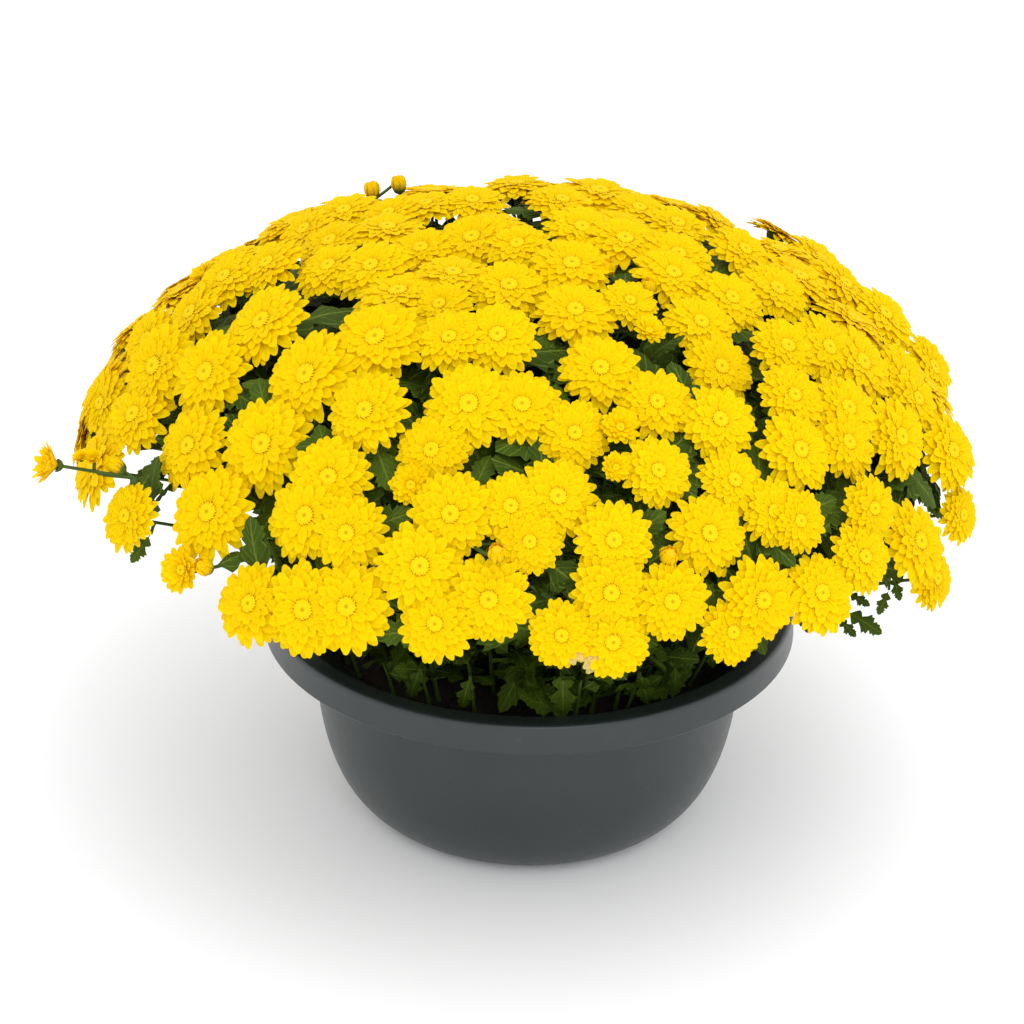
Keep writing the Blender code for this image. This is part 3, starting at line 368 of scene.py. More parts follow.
# Moist potting mix: dark brown fibres and bark, matt, with a faint wet shine here and there.
# Its grain runs from half a millimetre for peat to 4 mm for bark.
mix, tree, shader = new_material("moist_potting_mix", 0.9)
where = add_node(tree, "TexCoord", {}).outputs["Object"]
bark = add_node(tree, "TexVoronoi", {"Vector": where, "Scale": 260.0})
peat = add_node(tree, "TexNoise", {"Vector": where, "Scale": 1400.0, "Detail": 4.0, "Roughness": 0.7})
tone = add_node(tree, "Mix", {0: peat, 6: colour("#0E0B08"), 7: colour("#2A2019")}, data_type="RGBA")
pale = add_node(tree, "MapRange", {"Value": bark.outputs["Color"], "From Min": 0.55, "To Max": 0.5})
spots = add_node(tree, "Mix", {0: pale, 6: tone, 7: colour("#3A2A1C")}, data_type="RGBA")
bump = add_node(tree, "Bump", {"Height": peat, "Strength": 0.8, "Distance": 0.0008})
feed(shader, {"Base Color": spots, "Normal": bump})
for piece in (soil, bark_crumbs):
    piece.data.materials.append(mix)
    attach(piece, "root")
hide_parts("soil")


# The places of the blooms
# Those that face the front stand where lines of sight through the picture meet the plant's dome.
# A seeded rule fills the other sides, and joins neighbours in sprays, as in the plant's source.
DOME_CENTRE = Vector((-0.007, 0.0, 0.199))
DOME_RADIUS = 0.225
DOME_RISE = 0.121
SEEN_CROWN = (
    (515, 180, 72), (600, 188, 80), (561, 199, 72), (640, 200, 70), (473, 194, 70), (425, 196, 68),
    (345, 203, 76), (300, 222, 74), (385, 206, 66), (471, 229, 84), (580, 226, 78), (624, 238, 84),
    (680, 215, 76), (721, 212, 66), (676, 252, 76), (779, 230, 66), (746, 248, 74), (520, 238, 70),
)
SEEN_UPPER_LEFT = (
    (369, 262, 80), (326, 233, 76), (322, 259, 78), (268, 262, 78), (225, 275, 78), (185, 306, 80),
    (264, 318, 94), (297, 370, 98), (380, 334, 96), (201, 368, 92), (153, 366, 92), (140, 335, 76),
    (126, 410, 84), (93, 400, 70), (180, 442, 90), (418, 240, 76), (438, 300, 66),
)
SEEN_UPPER_RIGHT = (
    (509, 277, 84), (570, 260, 86), (576, 306, 84), (631, 298, 60), (452, 338, 74), (498, 336, 84),
    (668, 268, 80), (704, 315, 74), (740, 293, 74), (826, 253, 76), (782, 282, 80), (847, 282, 78),
    (790, 343, 76), (832, 345, 82), (888, 312, 80), (867, 358, 84), (939, 362, 76), (912, 372, 72),
)
SEEN_MIDDLE = (
    (255, 441, 98), (325, 474, 86), (366, 411, 86), (471, 405, 92), (429, 446, 76), (522, 405, 82),
    (573, 431, 72), (600, 368, 84), (656, 400, 76), (663, 471, 72), (726, 361, 78), (724, 420, 78),
    (793, 395, 74), (801, 446, 86), (738, 475, 74), (848, 405, 78), (853, 440, 76), (907, 437, 82),
    (925, 395, 72), (957, 449, 80), (449, 513, 88), (511, 505, 74), (561, 496, 84), (780, 509, 70),
)
SEEN_LOWER = (
    (201, 509, 98), (122, 515, 72), (246, 603, 86), (301, 610, 96), (347, 609, 90), (300, 513, 92),
    (343, 528, 78), (417, 567, 92), (434, 624, 78), (489, 600, 88), (530, 541, 68), (612, 538, 80),
    (612, 593, 82), (561, 636, 70), (614, 643, 78), (674, 602, 82), (713, 530, 84), (735, 632, 68),
    (764, 600, 84), (824, 588, 80), (805, 524, 66), (868, 556, 74), (877, 508, 70), (924, 540, 86),
    (940, 578, 66), (966, 515, 60),
)
# Half-open ones, as they were read off the picture: (x, y, width)
SEEN_HALF_OPEN = (
    (408, 482, 46), (623, 427, 42), (614, 467, 32), (649, 331, 36), (178, 569, 52), (200, 272, 34),
)
# Openings through which the leaves show: (x, y, radius)
SEEN_OPENINGS = (
    (328, 296, 20), (212, 316, 14), (228, 380, 24), (205, 460, 14), (250, 490, 18), (315, 430, 22),
    (378, 455, 24), (425, 365, 20), (385, 512, 24), (240, 545, 30), (320, 560, 14), (478, 465, 28),
    (560, 390, 24), (540, 320, 26), (630, 268, 24), (672, 330, 40), (690, 300, 26), (690, 372, 22),
    (610, 400, 14), (640, 450, 20), (650, 520, 42), (655, 560, 26), (570, 575, 34), (705, 460, 14),
    (770, 455, 18), (830, 500, 30), (790, 545, 22), (830, 370, 16), (740, 395, 16), (885, 480, 16),
    (940, 480, 12), (710, 600, 18), (395, 640, 18), (445, 605, 8), (520, 222, 8), (705, 240, 8),
    (134, 472, 24),
)
# Places beside the plant, where the picture shows neither blooms nor leaves: (x, y, radius)
SEEN_BARE = ((70, 532, 52), (130, 590, 34), (160, 612, 30), (985, 540, 30), (985, 600, 30), (100, 480, 20))
# The shoot that leans out at the left: where it forks, and its three small blooms (x, y, width, spray)
SHOOT_FORK_SEEN = (134, 478)
SHOOT_BLOOMS_SEEN = ((55, 465, 46, 0), (81, 459, 18, 1), (93, 460, 22, 1))
SHOOT_AXES = (Vector((-0.90, -0.30, 0.30)), Vector((-0.35, -0.35, 0.85)), Vector((-0.15, -0.4, 0.9)))
PETALS = 6  # in each layer
HALF_OPEN_PETALS = 5
SEEN_GROWTH = 1.06  # the width in the picture is between tips that droop
SEEN_SUNK = 0.17  # how far under the middle that the picture shows the ring of petals lies
FILL_ROOM = 0.0090  # least distance from the middle of a bloom that the rule adds to another's edge
FILL_DEPTH = 0.006  # how far inside the dome the added ones lie
FILL_RADIUS = (0.0200, 0.0235)
FILL_UPTURN = 0.25  # how far they face up from square to the dome, as a slope
FILL_FLOOR_BACK = 0.194
FILL_FLOOR_FRONT = 0.216
FILL_FLOOR_STEEP = 3  # how fast the floor rises from the sides to the front
BACK_OPENINGS = 16
BACK_OPENING_RADIUS = (0.012, 0.020)
BACK_OPENING_TURN = (0.05 * math.pi, 0.95 * math.pi)  # from the right side round the back to the left
BACK_OPENING_HEIGHT = (0.05, 0.8)  # as a share of the dome's rise
OPENING_ROOM = 0.6 * FILL_RADIUS[0]  # from an opening's edge to the middle of an added bloom
LATTICE_COUNT = 5000  # places on the dome that an added bloom may take
LATTICE_SPAN = 1.25  # how far down the dome they go: 1 is down to its widest
FACING_CENTRE = Vector((-0.004, 0.0, 0.120))  # blooms face away from here
EDGE_TURN = 0.5  # how far those of the picture that would be edge on turn to the front
AXIS_JITTER = 0.13
# The solid that stands for a bloom, as shares of its radius
TIP_DROP = 0.05
VALLEY = 0.80
INNER_TIER = 0.62
INNER_RISE = 0.30
CROWN_RISE = 0.24
UNDER_DEPTH = 0.30
# How sprays are joined and parted
MOST_SPRAYS = 44
SPRAY_CAP = 7
LINK_REACH = 0.84  # the share of both radii that lies between the middles of two joined blooms
LINK_RISE = 0.0022
PAIR_REACH = 1.5  # the same share, over which two blooms can't be joined
SETTLE_REACH = 0.07  # blooms with middles further apart don't move each other
SPRAY_CLEARANCE = 0.0012
HEIGHT_LIMIT = 0.0105
ASIDE_LIMIT = 0.0020
MOST_GROWTH = 1.10
SETTLE_GROWTH = 1.01
PULL = 0.25  # share of what is amiss that one round of settling puts right
LEVEL = 0.5
APART = 0.04
SETTLE_ROUNDS = 60
NEAR_STEP = 0.0003
PART_STEP = 0.0003
PART_SHRINK = 0.985
CLEAR_GROWTH = 1.02  # a bloom's size while it is tried against others
CLEAR_REACH = 0.004
CLEAR_ROUNDS = 60
TO_UNIT = Vector((1 / DOME_RADIUS, 1 / DOME_RADIUS, 1 / DOME_RISE))
FROM_UNIT = Vector((DOME_RADIUS, DOME_RADIUS, DOME_RISE))


def on_dome(x, y):
    """Where the line of sight meets the dome, or passes closest to it."""
    start = (EYE - DOME_CENTRE) * TO_UNIT
    step = sight(x, y) * TO_UNIT
    along = -start.dot(step) / step.length_squared
    inside = 1 - (start + along * step).length_squared
    if inside > 0:
        along -= math.sqrt(inside / step.length_squared)
    return DOME_CENTRE + (start + along * step) * FROM_UNIT


def dome_point(flat, turn, height):
    """A point of the dome: its distance from the dome's axis and its height are shares."""
    return DOME_CENTRE + polar(flat, turn, height) * FROM_UNIT


def dome_normal(point):
    """The direction square to the dome at a point."""
    return ((point - DOME_CENTRE) * TO_UNIT * TO_UNIT).normalized()


def dome_height(point):
    """How far a point stands out of the dome."""
    unit = (point - DOME_CENTRE) * TO_UNIT
    return (point - DOME_CENTRE).length * (1 - 1 / unit.length)


def real_width(width, point):
    """A width in the picture as metres, at the distance of a point."""
    return width / SIGHT_LENGTH * (point - EYE).dot(LOOK)


class Bloom:
    """One flower head: the middle of its petals' ring, where it faces, and its radius."""

    def __init__(self, place, axis, radius, petals, turn, seen=False):
        self.place = place
        self.axis = axis
        self.radius = radius
        self.petals = petals
        self.turn = turn
        self.seen = seen
        self.start = place.copy()
        self.grown = 1.0
        self.spray = None

    def hold(self):
        """Keeps a seen bloom near where it started, on its line of sight, and the others near the dome."""
        if self.seen:
            ray = (self.start - EYE).normalized()
            moved = self.place - self.start
            along = max(-HEIGHT_LIMIT, min(HEIGHT_LIMIT, moved.dot(ray)))
            aside = moved - moved.dot(ray) * ray
            if aside.length > ASIDE_LIMIT:
                aside *= ASIDE_LIMIT / aside.length
            self.place = self.start + along * ray + aside
        else:
            height = dome_height(self.place)
            over = max(-FILL_DEPTH - HEIGHT_LIMIT, min(-FILL_DEPTH, height)) - height
            self.place += over * dome_normal(self.place)

    def matrix(self):
        turned_to = self.axis.to_track_quat("Z", "Y").to_matrix().to_4x4()
        return Matrix.Translation(self.place) @ turned_to @ Matrix.Rotation(self.turn, 4, "Z")

    def base(self):
        """The point under the bloom where its stalk ends."""
        return self.place - (UNDER_DEPTH * self.radius + GAP) * self.axis

    def solid(self, grown=1.0):
        """Two layers of petals: an outer ring of points, and an inner ring that stands over its gaps."""
        size = self.radius * grown
        points = [Vector((0, 0, -UNDER_DEPTH * size)), Vector((0, 0, CROWN_RISE * size))]
        step = math.pi / self.petals
        for petal in range(self.petals):
            tip, gap = 2 * petal * step, (2 * petal + 1) * step
            points.append(polar(size, tip, -TIP_DROP * size))
            points.append(VALLEY * size * polar(1.0, gap))
            points.append(polar(INNER_TIER * size, gap, INNER_RISE * size))
        faces = []
        for petal in range(self.petals):
            tip, gap, inner = (2 + 3 * petal + k for k in range(3))
            next_tip = 2 + 3 * ((petal + 1) % self.petals)
            next_inner = next_tip + 2
            faces += [(0, gap, tip), (0, next_tip, gap), (tip, gap, inner), (gap, next_tip, inner)]
            faces += [(next_tip, next_inner, inner), (1, inner, next_inner)]
        matrix = self.matrix()
        return [matrix @ point for point in points], faces


def astray(draw, most):
    """A random step, up to this much along each axis."""
    return Vector([draw.uniform(-most, most) for _ in range(3)])


def bloom_axis(point, draw):
    """Away from the middle of the plant, a little astray, and less edge on to the front."""
    axis = ((point - FACING_CENTRE).normalized() + astray(draw, AXIS_JITTER)).normalized()
    front = (EYE - point).normalized()
    return (axis + EDGE_TURN * (1 - abs(axis.dot(front))) * front).normalized()


def filling_axis(point, draw):
    """Square to the dome, turned up a little, and a little astray."""
    return (dome_normal(point) + Vector((0, 0, FILL_UPTURN)) + astray(draw, AXIS_JITTER)).normalized()


def seen_blooms(draw):
    """The blooms that the picture shows."""
    made = []
    for x, y, width in SEEN_CROWN + SEEN_UPPER_LEFT + SEEN_UPPER_RIGHT + SEEN_MIDDLE + SEEN_LOWER:
        place = on_dome(x, y)
        radius = 0.5 * SEEN_GROWTH * real_width(width, place)
        axis = bloom_axis(place, draw)
        place -= SEEN_SUNK * radius * axis
        made.append(Bloom(place, axis, radius, PETALS, draw.uniform(0, math.tau), True))
    for x, y, width in SEEN_HALF_OPEN:
        place = on_dome(x, y)
        radius = 0.5 * real_width(width, place)
        axis = bloom_axis(place, draw)
        made.append(Bloom(place, axis, radius, HALF_OPEN_PETALS, draw.uniform(0, math.tau), True))
    return made


def shoot_blooms(spray):
    """The three small blooms of the shoot that leans out, in two sprays numbered from here."""
    made = []
    distance = (on_dome(*SHOOT_FORK_SEEN) - EYE).length
    for (x, y, width, number), axis in zip(SHOOT_BLOOMS_SEEN, SHOOT_AXES):
        place = EYE + distance * sight(x, y)
        radius = 0.5 * real_width(width, place)
        made.append(Bloom(place, axis.normalized(), radius, HALF_OPEN_PETALS, 0.0))
        made[-1].spray = spray + number
    return made


def openings(draw):
    """(point, radius) of the bare places, of the gaps that the picture shows, and of as many at the back."""
    found = []
    for x, y, radius in SEEN_BARE + SEEN_OPENINGS:
        place = on_dome(x, y)
        found.append((place, real_width(radius, place)))
    for _ in range(BACK_OPENINGS):
        angle, height = draw.uniform(*BACK_OPENING_TURN), draw.uniform(*BACK_OPENING_HEIGHT)
        place = dome_point(math.sqrt(1 - height**2), angle, height)
        found.append((place, draw.uniform(*BACK_OPENING_RADIUS)))
    return found


def fill_dome(blooms, draw):
    """Adds blooms where there is room, each as far from all the others as can be."""
    lattice = []
    for step in range(LATTICE_COUNT):
        height = 1 - LATTICE_SPAN * (step + 0.5) / LATTICE_COUNT
        angle = step * math.pi * (3 - math.sqrt(5))
        flat = math.sqrt(1 - height**2)
        point = dome_point(flat, angle, height)
        front = max(0.0, min(1.0, -FILL_FLOOR_STEEP * flat * math.sin(angle)))
        if point.z > FILL_FLOOR_BACK + (FILL_FLOOR_FRONT - FILL_FLOOR_BACK) * front:
            lattice.append(point)
    spots = np.array(lattice)
    room = np.full(len(spots), 1.0)
    for place, radius in openings(draw):
        from_opening = np.linalg.norm(spots - np.array(place), axis=1)
        room[from_opening < radius + OPENING_ROOM] = 0.0
    for bloom in blooms:
        room = np.minimum(room, np.linalg.norm(spots - np.array(bloom.place), axis=1) - bloom.radius)
    while room.max() > FILL_ROOM:
        place = Vector(spots[room.argmax()])
        radius = draw.uniform(*FILL_RADIUS)
        blooms.append(Bloom(place, filling_axis(place, draw), radius, PETALS, draw.uniform(0, math.tau)))
        room = np.minimum(room, np.linalg.norm(spots - np.array(place), axis=1) - radius)


def join_in_sprays(blooms):
    """Numbers the sprays and gives the links: the closest pairs first, up to the cap."""
    spray_of = list(range(len(blooms)))
    sizes = [1] * len(blooms)
    pairs = []
    for i, one in enumerate(blooms):
        for j in range(i + 1, len(blooms)):
            reach = (one.place - blooms[j].place).length / (one.radius + blooms[j].radius)
            if reach < PAIR_REACH:
                pairs.append((reach, i, j))
    links = []
    left = len(blooms)
    for reach, i, j in sorted(pairs):
        one, two = spray_of[i], spray_of[j]
        if one == two or sizes[one] + sizes[two] > SPRAY_CAP or left <= MOST_SPRAYS:
            continue
        spray_of = [one if spray == two else spray for spray in spray_of]
        sizes[one] += sizes[two]
        left -= 1
        links.append((i, j))
    for bloom, spray in zip(blooms, spray_of):
        bloom.spray = spray
    return links


def pull_together(one, two, across, rise, up):
    """Draws two joined blooms together and level, and lets them grow where they are too far apart."""
    reach = one.radius + two.radius
    if across.length > LINK_REACH * reach:
        for bloom in (one, two):
            if bloom.grown < MOST_GROWTH:
                bloom.radius *= SETTLE_GROWTH
                bloom.grown *= SETTLE_GROWTH
    pull = PULL * max(0.0, across.length - LINK_REACH * reach) * across.normalized()
    level = LEVEL * max(0.0, abs(rise) - LINK_RISE) * math.copysign(1, rise) * up
    one.place += pull + 0.5 * level
    two.place -= pull + 0.5 * level


def lift_apart(one, two, across, rise, up):
    """Lifts one of two blooms of different sprays over the other, where they overlap."""
    overlap = one.radius + two.radius + SPRAY_CLEARANCE - across.length
    need = 0.5 * overlap + SPRAY_CLEARANCE
    if overlap > 0 and abs(rise) < need:
        lift = PULL * (need - abs(rise)) * math.copysign(1, rise) * up
        apart = APART * overlap * across.normalized()
        one.place -= lift + apart
        two.place += lift + apart


def settle(blooms, links):
    """Draws joined blooms together and lifts those of different sprays over or under each other."""
    linked = set(links)
    pairs = [
        (i, j)
        for i in range(len(blooms))
        for j in range(i + 1, len(blooms))
        if (blooms[i].place - blooms[j].place).length < SETTLE_REACH
    ]
    for _ in range(SETTLE_ROUNDS):
        for i, j in pairs:
            one, two = blooms[i], blooms[j]
            between = two.place - one.place
            up = (one.axis + two.axis).normalized()
            rise = between.dot(up)
            across = between - rise * up
            if (i, j) in linked:
                pull_together(one, two, across, rise, up)
            elif one.spray != two.spray:
                lift_apart(one, two, across, rise, up)
        for bloom in blooms:
            bloom.hold()


def search_tree(points, faces):
    return BVHTree.FromPolygons([tuple(point) for point in points], faces)


def draw_near(one, two):
    """Moves two joined blooms a little towards each other."""
    step = NEAR_STEP * (two.place - one.place).normalized()
    one.place += step
    two.place -= step


def part_from(one, two):
    """Shrinks two blooms of different sprays a little and moves one over the other."""
    up = (one.axis + two.axis).normalized()
    lift = PART_STEP * math.copysign(1, (two.place - one.place).dot(up)) * up
    one.place -= lift
    two.place += lift
    one.radius *= PART_SHRINK
    two.radius *= PART_SHRINK


def clear_sprays(blooms, links):
    """Parts blooms of different sprays that still touch, and joins those of one spray that don't."""
    near = [
        (one, two)
        for index, one in enumerate(blooms)
        for two in blooms[index + 1:]
        if one.spray != two.spray
        and (one.place - two.place).length < one.radius + two.radius + CLEAR_REACH
    ]
    joined = [(blooms[i], blooms[j]) for i, j in links]
    for _ in range(CLEAR_ROUNDS):
        outer = {bloom: search_tree(*bloom.solid(CLEAR_GROWTH)) for bloom in blooms}
        inner = {bloom: search_tree(*bloom.solid(1 / CLEAR_GROWTH)) for bloom in blooms}
        touching = [(one, two) for one, two in near if outer[one].overlap(outer[two])]
        parted = [(one, two) for one, two in joined if not inner[one].overlap(inner[two])]
        if not touching and not parted:
            return
        for one, two in touching:
            part_from(one, two)
        for one, two in parted:
            draw_near(one, two)


blooms = seen_blooms(draw)
fill_dome(blooms, draw)
links = join_in_sprays(blooms)
settle(blooms, links)
clear_sprays(blooms, links)
shoot = shoot_blooms(len(blooms))


# The places of the stems and leaves
# Twelve main stems stand in the mix, fork once to each spray, and send a stalk to each bloom.
# Each limb takes the first clear way, and each leaf the first clear place, as in the plant's source.
STEM_COUNT = 12
INNER_STEMS = 3
RING_SHARES = (0.35, 0.85)  # where the two rings of stems end, as shares of the dome's radius
TERRITORY_ROUNDS = 12
STEM_RADIUS = 0.0034
STEM_SIDES = 5
STEM_TAPER = 0.85
BRANCH_RADIUS = 0.0021
BRANCH_SIDES = 4
STALK_RADIUS = 0.0012
STALK_SIDES = 3
CALYX_RADIUS = 0.0036
FULL_BLOOM = 0.016  # radius from which a bloom has a calyx of full size
SHOOT_FULL_BLOOM = 0.012
ROOT_SUNK = 0.003  # how far back in its carrier a limb starts
HOLE_DEPTH = 0.022
HOLE_SPREAD = 0.33  # a stem's place in the soil, as a share of its place in the dome
COLLAR_RISE = 0.006  # where a stem starts to lean, over the soil
FORK_SHARE = 0.42
SPRAY_FORK_SHARE = 0.40
FIRST_STALK = 0.55  # share of a branch at which its lowest stalk leaves it
PLACE_STEP = 0.005  # between the places on a limb where something may grow
KNEE = 0.022  # how far under a bloom its stalk bends, where a straight one would not pass
BEND_TRIES = 80
BEND_MOST = 0.024
SHOOT_DEPTH = 0.010  # how far behind the dome its fork lies
SHOOT_REACH = 0.16
SHOOT_SKIP = 2
SHOOT_BUD_SEEN = (109, 462)
# Buds on the stems, as they were read off the picture: (x, y)
SEEN_BUDS = ((371, 182), (398, 177), (607, 260), (649, 279), (497, 549), (671, 552), (199, 564))
BUD_RADIUS = 0.0042
BUD_SIDES = 4
BUD_NECK = 2.1 * BUD_RADIUS  # from its tip down to its stalk
BUD_RADII = (STALK_RADIUS, STALK_RADIUS, BUD_RADIUS, 0.3 * BUD_RADIUS)
BUD_NEARER = (0.002, 0.008, 0.014)  # how far before the dome it stands
BUD_UPTURN = 0.5
BUD_REACH = 0.10
BUD_WAYS = 8
BUD_SKIP = 5
# Leaves. Those that show under the blooms were read off the picture: (x, y)
LEAF_LENGTH = (0.034, 0.056)
LEAF_THICKNESS = 0.0026
LEAF_ARCH = 0.09
LEAF_DROOP = 0.5
LEAF_SIDE = ((0.22, 0.25), (0.38, 0.13), (0.62, 0.35), (0.74, 0.15))  # (along, across), from base to tip
LEAF_SPINE = 0.45
LEAF_DEPTH = 0.014  # how deep under the dome a leaf lies in an opening
SEEN_SKIRT = (
    (142, 548), (812, 622), (850, 620), (878, 617), (897, 592), (930, 590), (563, 700), (640, 690),
    (672, 690), (610, 690), (500, 680), (440, 680), (380, 665), (320, 655), (265, 640), (720, 675),
    (765, 655), (205, 610), (830, 605),
)
SKIRT_REACH = 0.150
SKIRT_LEAN = 0.45  # how far the leaves under the blooms face up
SKIRT_TURN = 0.8  # and how far to the front
STEM_LEAVES = 4
FIRST_LEAF = 0.22  # share of the stem, from the soil to its fork, below which none grows
LEAF_TURN = math.radians(137.5)
LEAF_DROOPS = (0.35, 0.05, 0.65, -0.25)


def tube(path, radii, sides, end_axis=None):
    """A closed tube of few sides, with one ring at each point of its path."""
    points = []
    side = (path[1] - path[0]).orthogonal()
    for index, point in enumerate(path):
        along = path[min(len(path) - 1, index + 1)] - path[max(0, index - 1)]
        if end_axis and index == len(path) - 1:
            along = end_axis
        along = along.normalized()
        side = (side - side.dot(along) * along).normalized()
        other = along.cross(side)
        for step in range(sides):
            angle = math.tau * step / sides
            points.append(point + radii[index] * (math.cos(angle) * side + math.sin(angle) * other))
    faces = [tuple(reversed(range(sides)))]
    for low in range(0, (len(path) - 1) * sides, sides):
        for step in range(sides):
            ahead = (step + 1) % sides
            faces.append((low + step, low + ahead, low + sides + ahead, low + sides + step))
    faces.append(tuple(range((len(path) - 1) * sides, len(path) * sides)))
    return points, faces


def leaf(base, tip, face, grown=0.0):
    """An arched blade with two lobes to each side and a long middle one, thickest at its spine."""
    length = (tip - base).length
    along = (tip - base).normalized()
    across = along.cross(face).normalized()
    up = across.cross(along)
    other_side = [(far, -wide) for far, wide in reversed(LEAF_SIDE)]
    points = []
    for far, wide in ((0.0, 0.0), *LEAF_SIDE, (1.0, 0.0), *other_side):
        rise = LEAF_ARCH * 4 * far * (1 - far) - LEAF_DROOP * wide**2
        wide += math.copysign(grown / length, wide) if wide else 0.0
        points.append(base + length * (far * along + wide * across + rise * up))
    spine = base + length * (LEAF_SPINE * along + LEAF_ARCH * up)
    points.append(spine + (0.5 * LEAF_THICKNESS + grown) * up)
    points.append(spine - (0.5 * LEAF_THICKNESS + grown) * up)
    count = len(points) - 2
    faces = []
    for index in range(count):
        ahead = (index + 1) % count
        faces.append((index, ahead, count))
        faces.append((ahead, index, count + 1))
    return points, faces


class Growth:
    """What has grown so far, so that what comes next stays clear of it."""

    def __init__(self, fixed):
        self.trees = [(None, search_tree(*shape)) for shape in fixed]
        self.tubes = [[] for _ in range(STEM_COUNT)]
        self.leaves = [[] for _ in range(STEM_COUNT)]
        self.carrier = {}
        self.limbs = [[] for _ in range(STEM_COUNT)]

    def clear(self, shape, stem):
        """True if the shape touches nothing, its own stem apart."""
        own = search_tree(*shape)
        return not any(owner != stem and own.overlap(other) for owner, other in self.trees)

    def add(self, shape, stem, path=()):
        self.trees.append((stem, search_tree(*shape)))
        self.limbs[stem] += zip(path, path[1:])

    def try_leaf(self, stem, place, tip, face):
        """Adds a leaf if it touches nothing but the limb that it grows on. Gives True if it does."""
        own = search_tree(*leaf(place, tip, face, GAP))
        if [owner for owner, other in self.trees if own.overlap(other)] != [stem]:
            return False
        self.add(leaf(place, tip, face), stem)
        self.leaves[stem].append((place, tip, face))
        return True

    def places(self, stem):
        """Points along the stem's limbs, where a leaf may grow."""
        found = []
        for start, end in self.limbs[stem]:
            count = max(1, int((end - start).length / PLACE_STEP))
            found += [start.lerp(end, (index + 0.5) / count) for index in range(count)]
        return found


def limb(growth, stem, starts, ending, radii, sides, draw, end_axis=None):
    """Grows a limb from the first start that gives it a clear way: straight, or else with one bend.

    ending is the list of its last points, and radii has one number more.
    """
    ways = [[start] for start in starts]
    if end_axis:
        ways += [[start, ending[0] - KNEE * end_axis] for start in starts]
    for attempt in range(BEND_TRIES):
        shift = astray(draw, BEND_MOST * (attempt + 1) / BEND_TRIES)
        start = starts[attempt % len(starts)]
        near = ending[0] - KNEE * end_axis if end_axis else (start + ending[0]) / 2
        ways.append([start, near + shift])
    for way in ways:
        path = [*way, *ending]
        widths = [radii[0]] * (len(way) - 1) + list(radii)
        if growth.clear(tube(path, [width + GAP for width in widths], sides, end_axis), stem):
            growth.add(tube(path, widths, sides, end_axis), stem, path)
            growth.tubes[stem].append((path, widths, end_axis))
            return path
    return None


def territories(groups):
    """Shares the sprays out between the stems: (each spray's stem, each stem's middle)."""
    middles = [sum(group, Vector()) / len(group) for group in groups]
    centres = []
    for index in range(STEM_COUNT):
        inner = index < INNER_STEMS
        ring = INNER_STEMS if inner else STEM_COUNT - INNER_STEMS
        angle = math.tau * (index + (0.5 if inner else 0.0)) / ring
        flat = RING_SHARES[0] if inner else RING_SHARES[1]
        centres.append(dome_point(flat, angle, math.sqrt(1 - flat**2)))
    for _ in range(TERRITORY_ROUNDS):
        chosen = [min(range(STEM_COUNT), key=lambda k: (centres[k] - middle).length) for middle in middles]
        for index in range(STEM_COUNT):
            carried = [middle for middle, owner in zip(middles, chosen) if owner == index]
            if carried:
                centres[index] = sum(carried, Vector()) / len(carried)
    return chosen, middles, centres


def grow_stems(growth, centres):
    """The main stems, from their holes in the soil to where they fork. Gives the forks."""
    forks = []
    for stem, centre in enumerate(centres):
        hole = Vector((HOLE_SPREAD * centre.x, HOLE_SPREAD * centre.y, SOIL_HEIGHT - HOLE_DEPTH))
        foot = hole + Vector((0, 0, GAP))
        collar = Vector((hole.x, hole.y, SOIL_HEIGHT + COLLAR_RISE))
        fork = collar.lerp(centre, FORK_SHARE)
        radii = (STEM_RADIUS, STEM_RADIUS, STEM_TAPER * STEM_RADIUS)
        shape = tube([foot, collar, fork], radii, STEM_SIDES)
        growth.add(shape, stem, [collar, fork])
        growth.tubes[stem].append(([foot, collar, fork], radii, None))
        forks.append(fork - ROOT_SUNK * (fork - collar).normalized())
    return forks


def grow_stalk(growth, stem, starts, bloom, full, draw):
    """A stalk to a bloom. Its calyx has its full size if the bloom's radius is at least full."""
    radii = (STALK_RADIUS, CALYX_RADIUS * min(1.0, bloom.radius / full))
    limb(growth, stem, starts, [bloom.base()], radii, STALK_SIDES, draw, bloom.axis)
    growth.carrier[bloom] = stem


def grow_spray(growth, stem, fork, middle, blooms, draw):
    """A branch from the stem's fork, with a stalk for each bloom of one spray."""
    starts = [fork]
    if len(blooms) > 1:
        tip = middle.lerp(fork, SPRAY_FORK_SHARE)
        path = limb(growth, stem, [fork], [tip], (BRANCH_RADIUS, BRANCH_RADIUS), BRANCH_SIDES, draw)
        start, end = path[-2], path[-1]
        top = 1 - ROOT_SUNK / (end - start).length
        count = len(blooms) - 1
        starts = [start.lerp(end, top - (top - FIRST_STALK) * index / count) for index in range(count + 1)]
    blooms = sorted(blooms, key=lambda bloom: (bloom.place - starts[0]).length)
    for index, bloom in enumerate(blooms):
        grow_stalk(growth, stem, starts[index:] + starts[:index], bloom, FULL_BLOOM, draw)


def bud_ending(tip, axis):
    """The last points of a bud's stalk: under the bud, in its middle and at its tip."""
    return [tip - BUD_NECK * axis, tip - BUD_RADIUS * axis, tip]


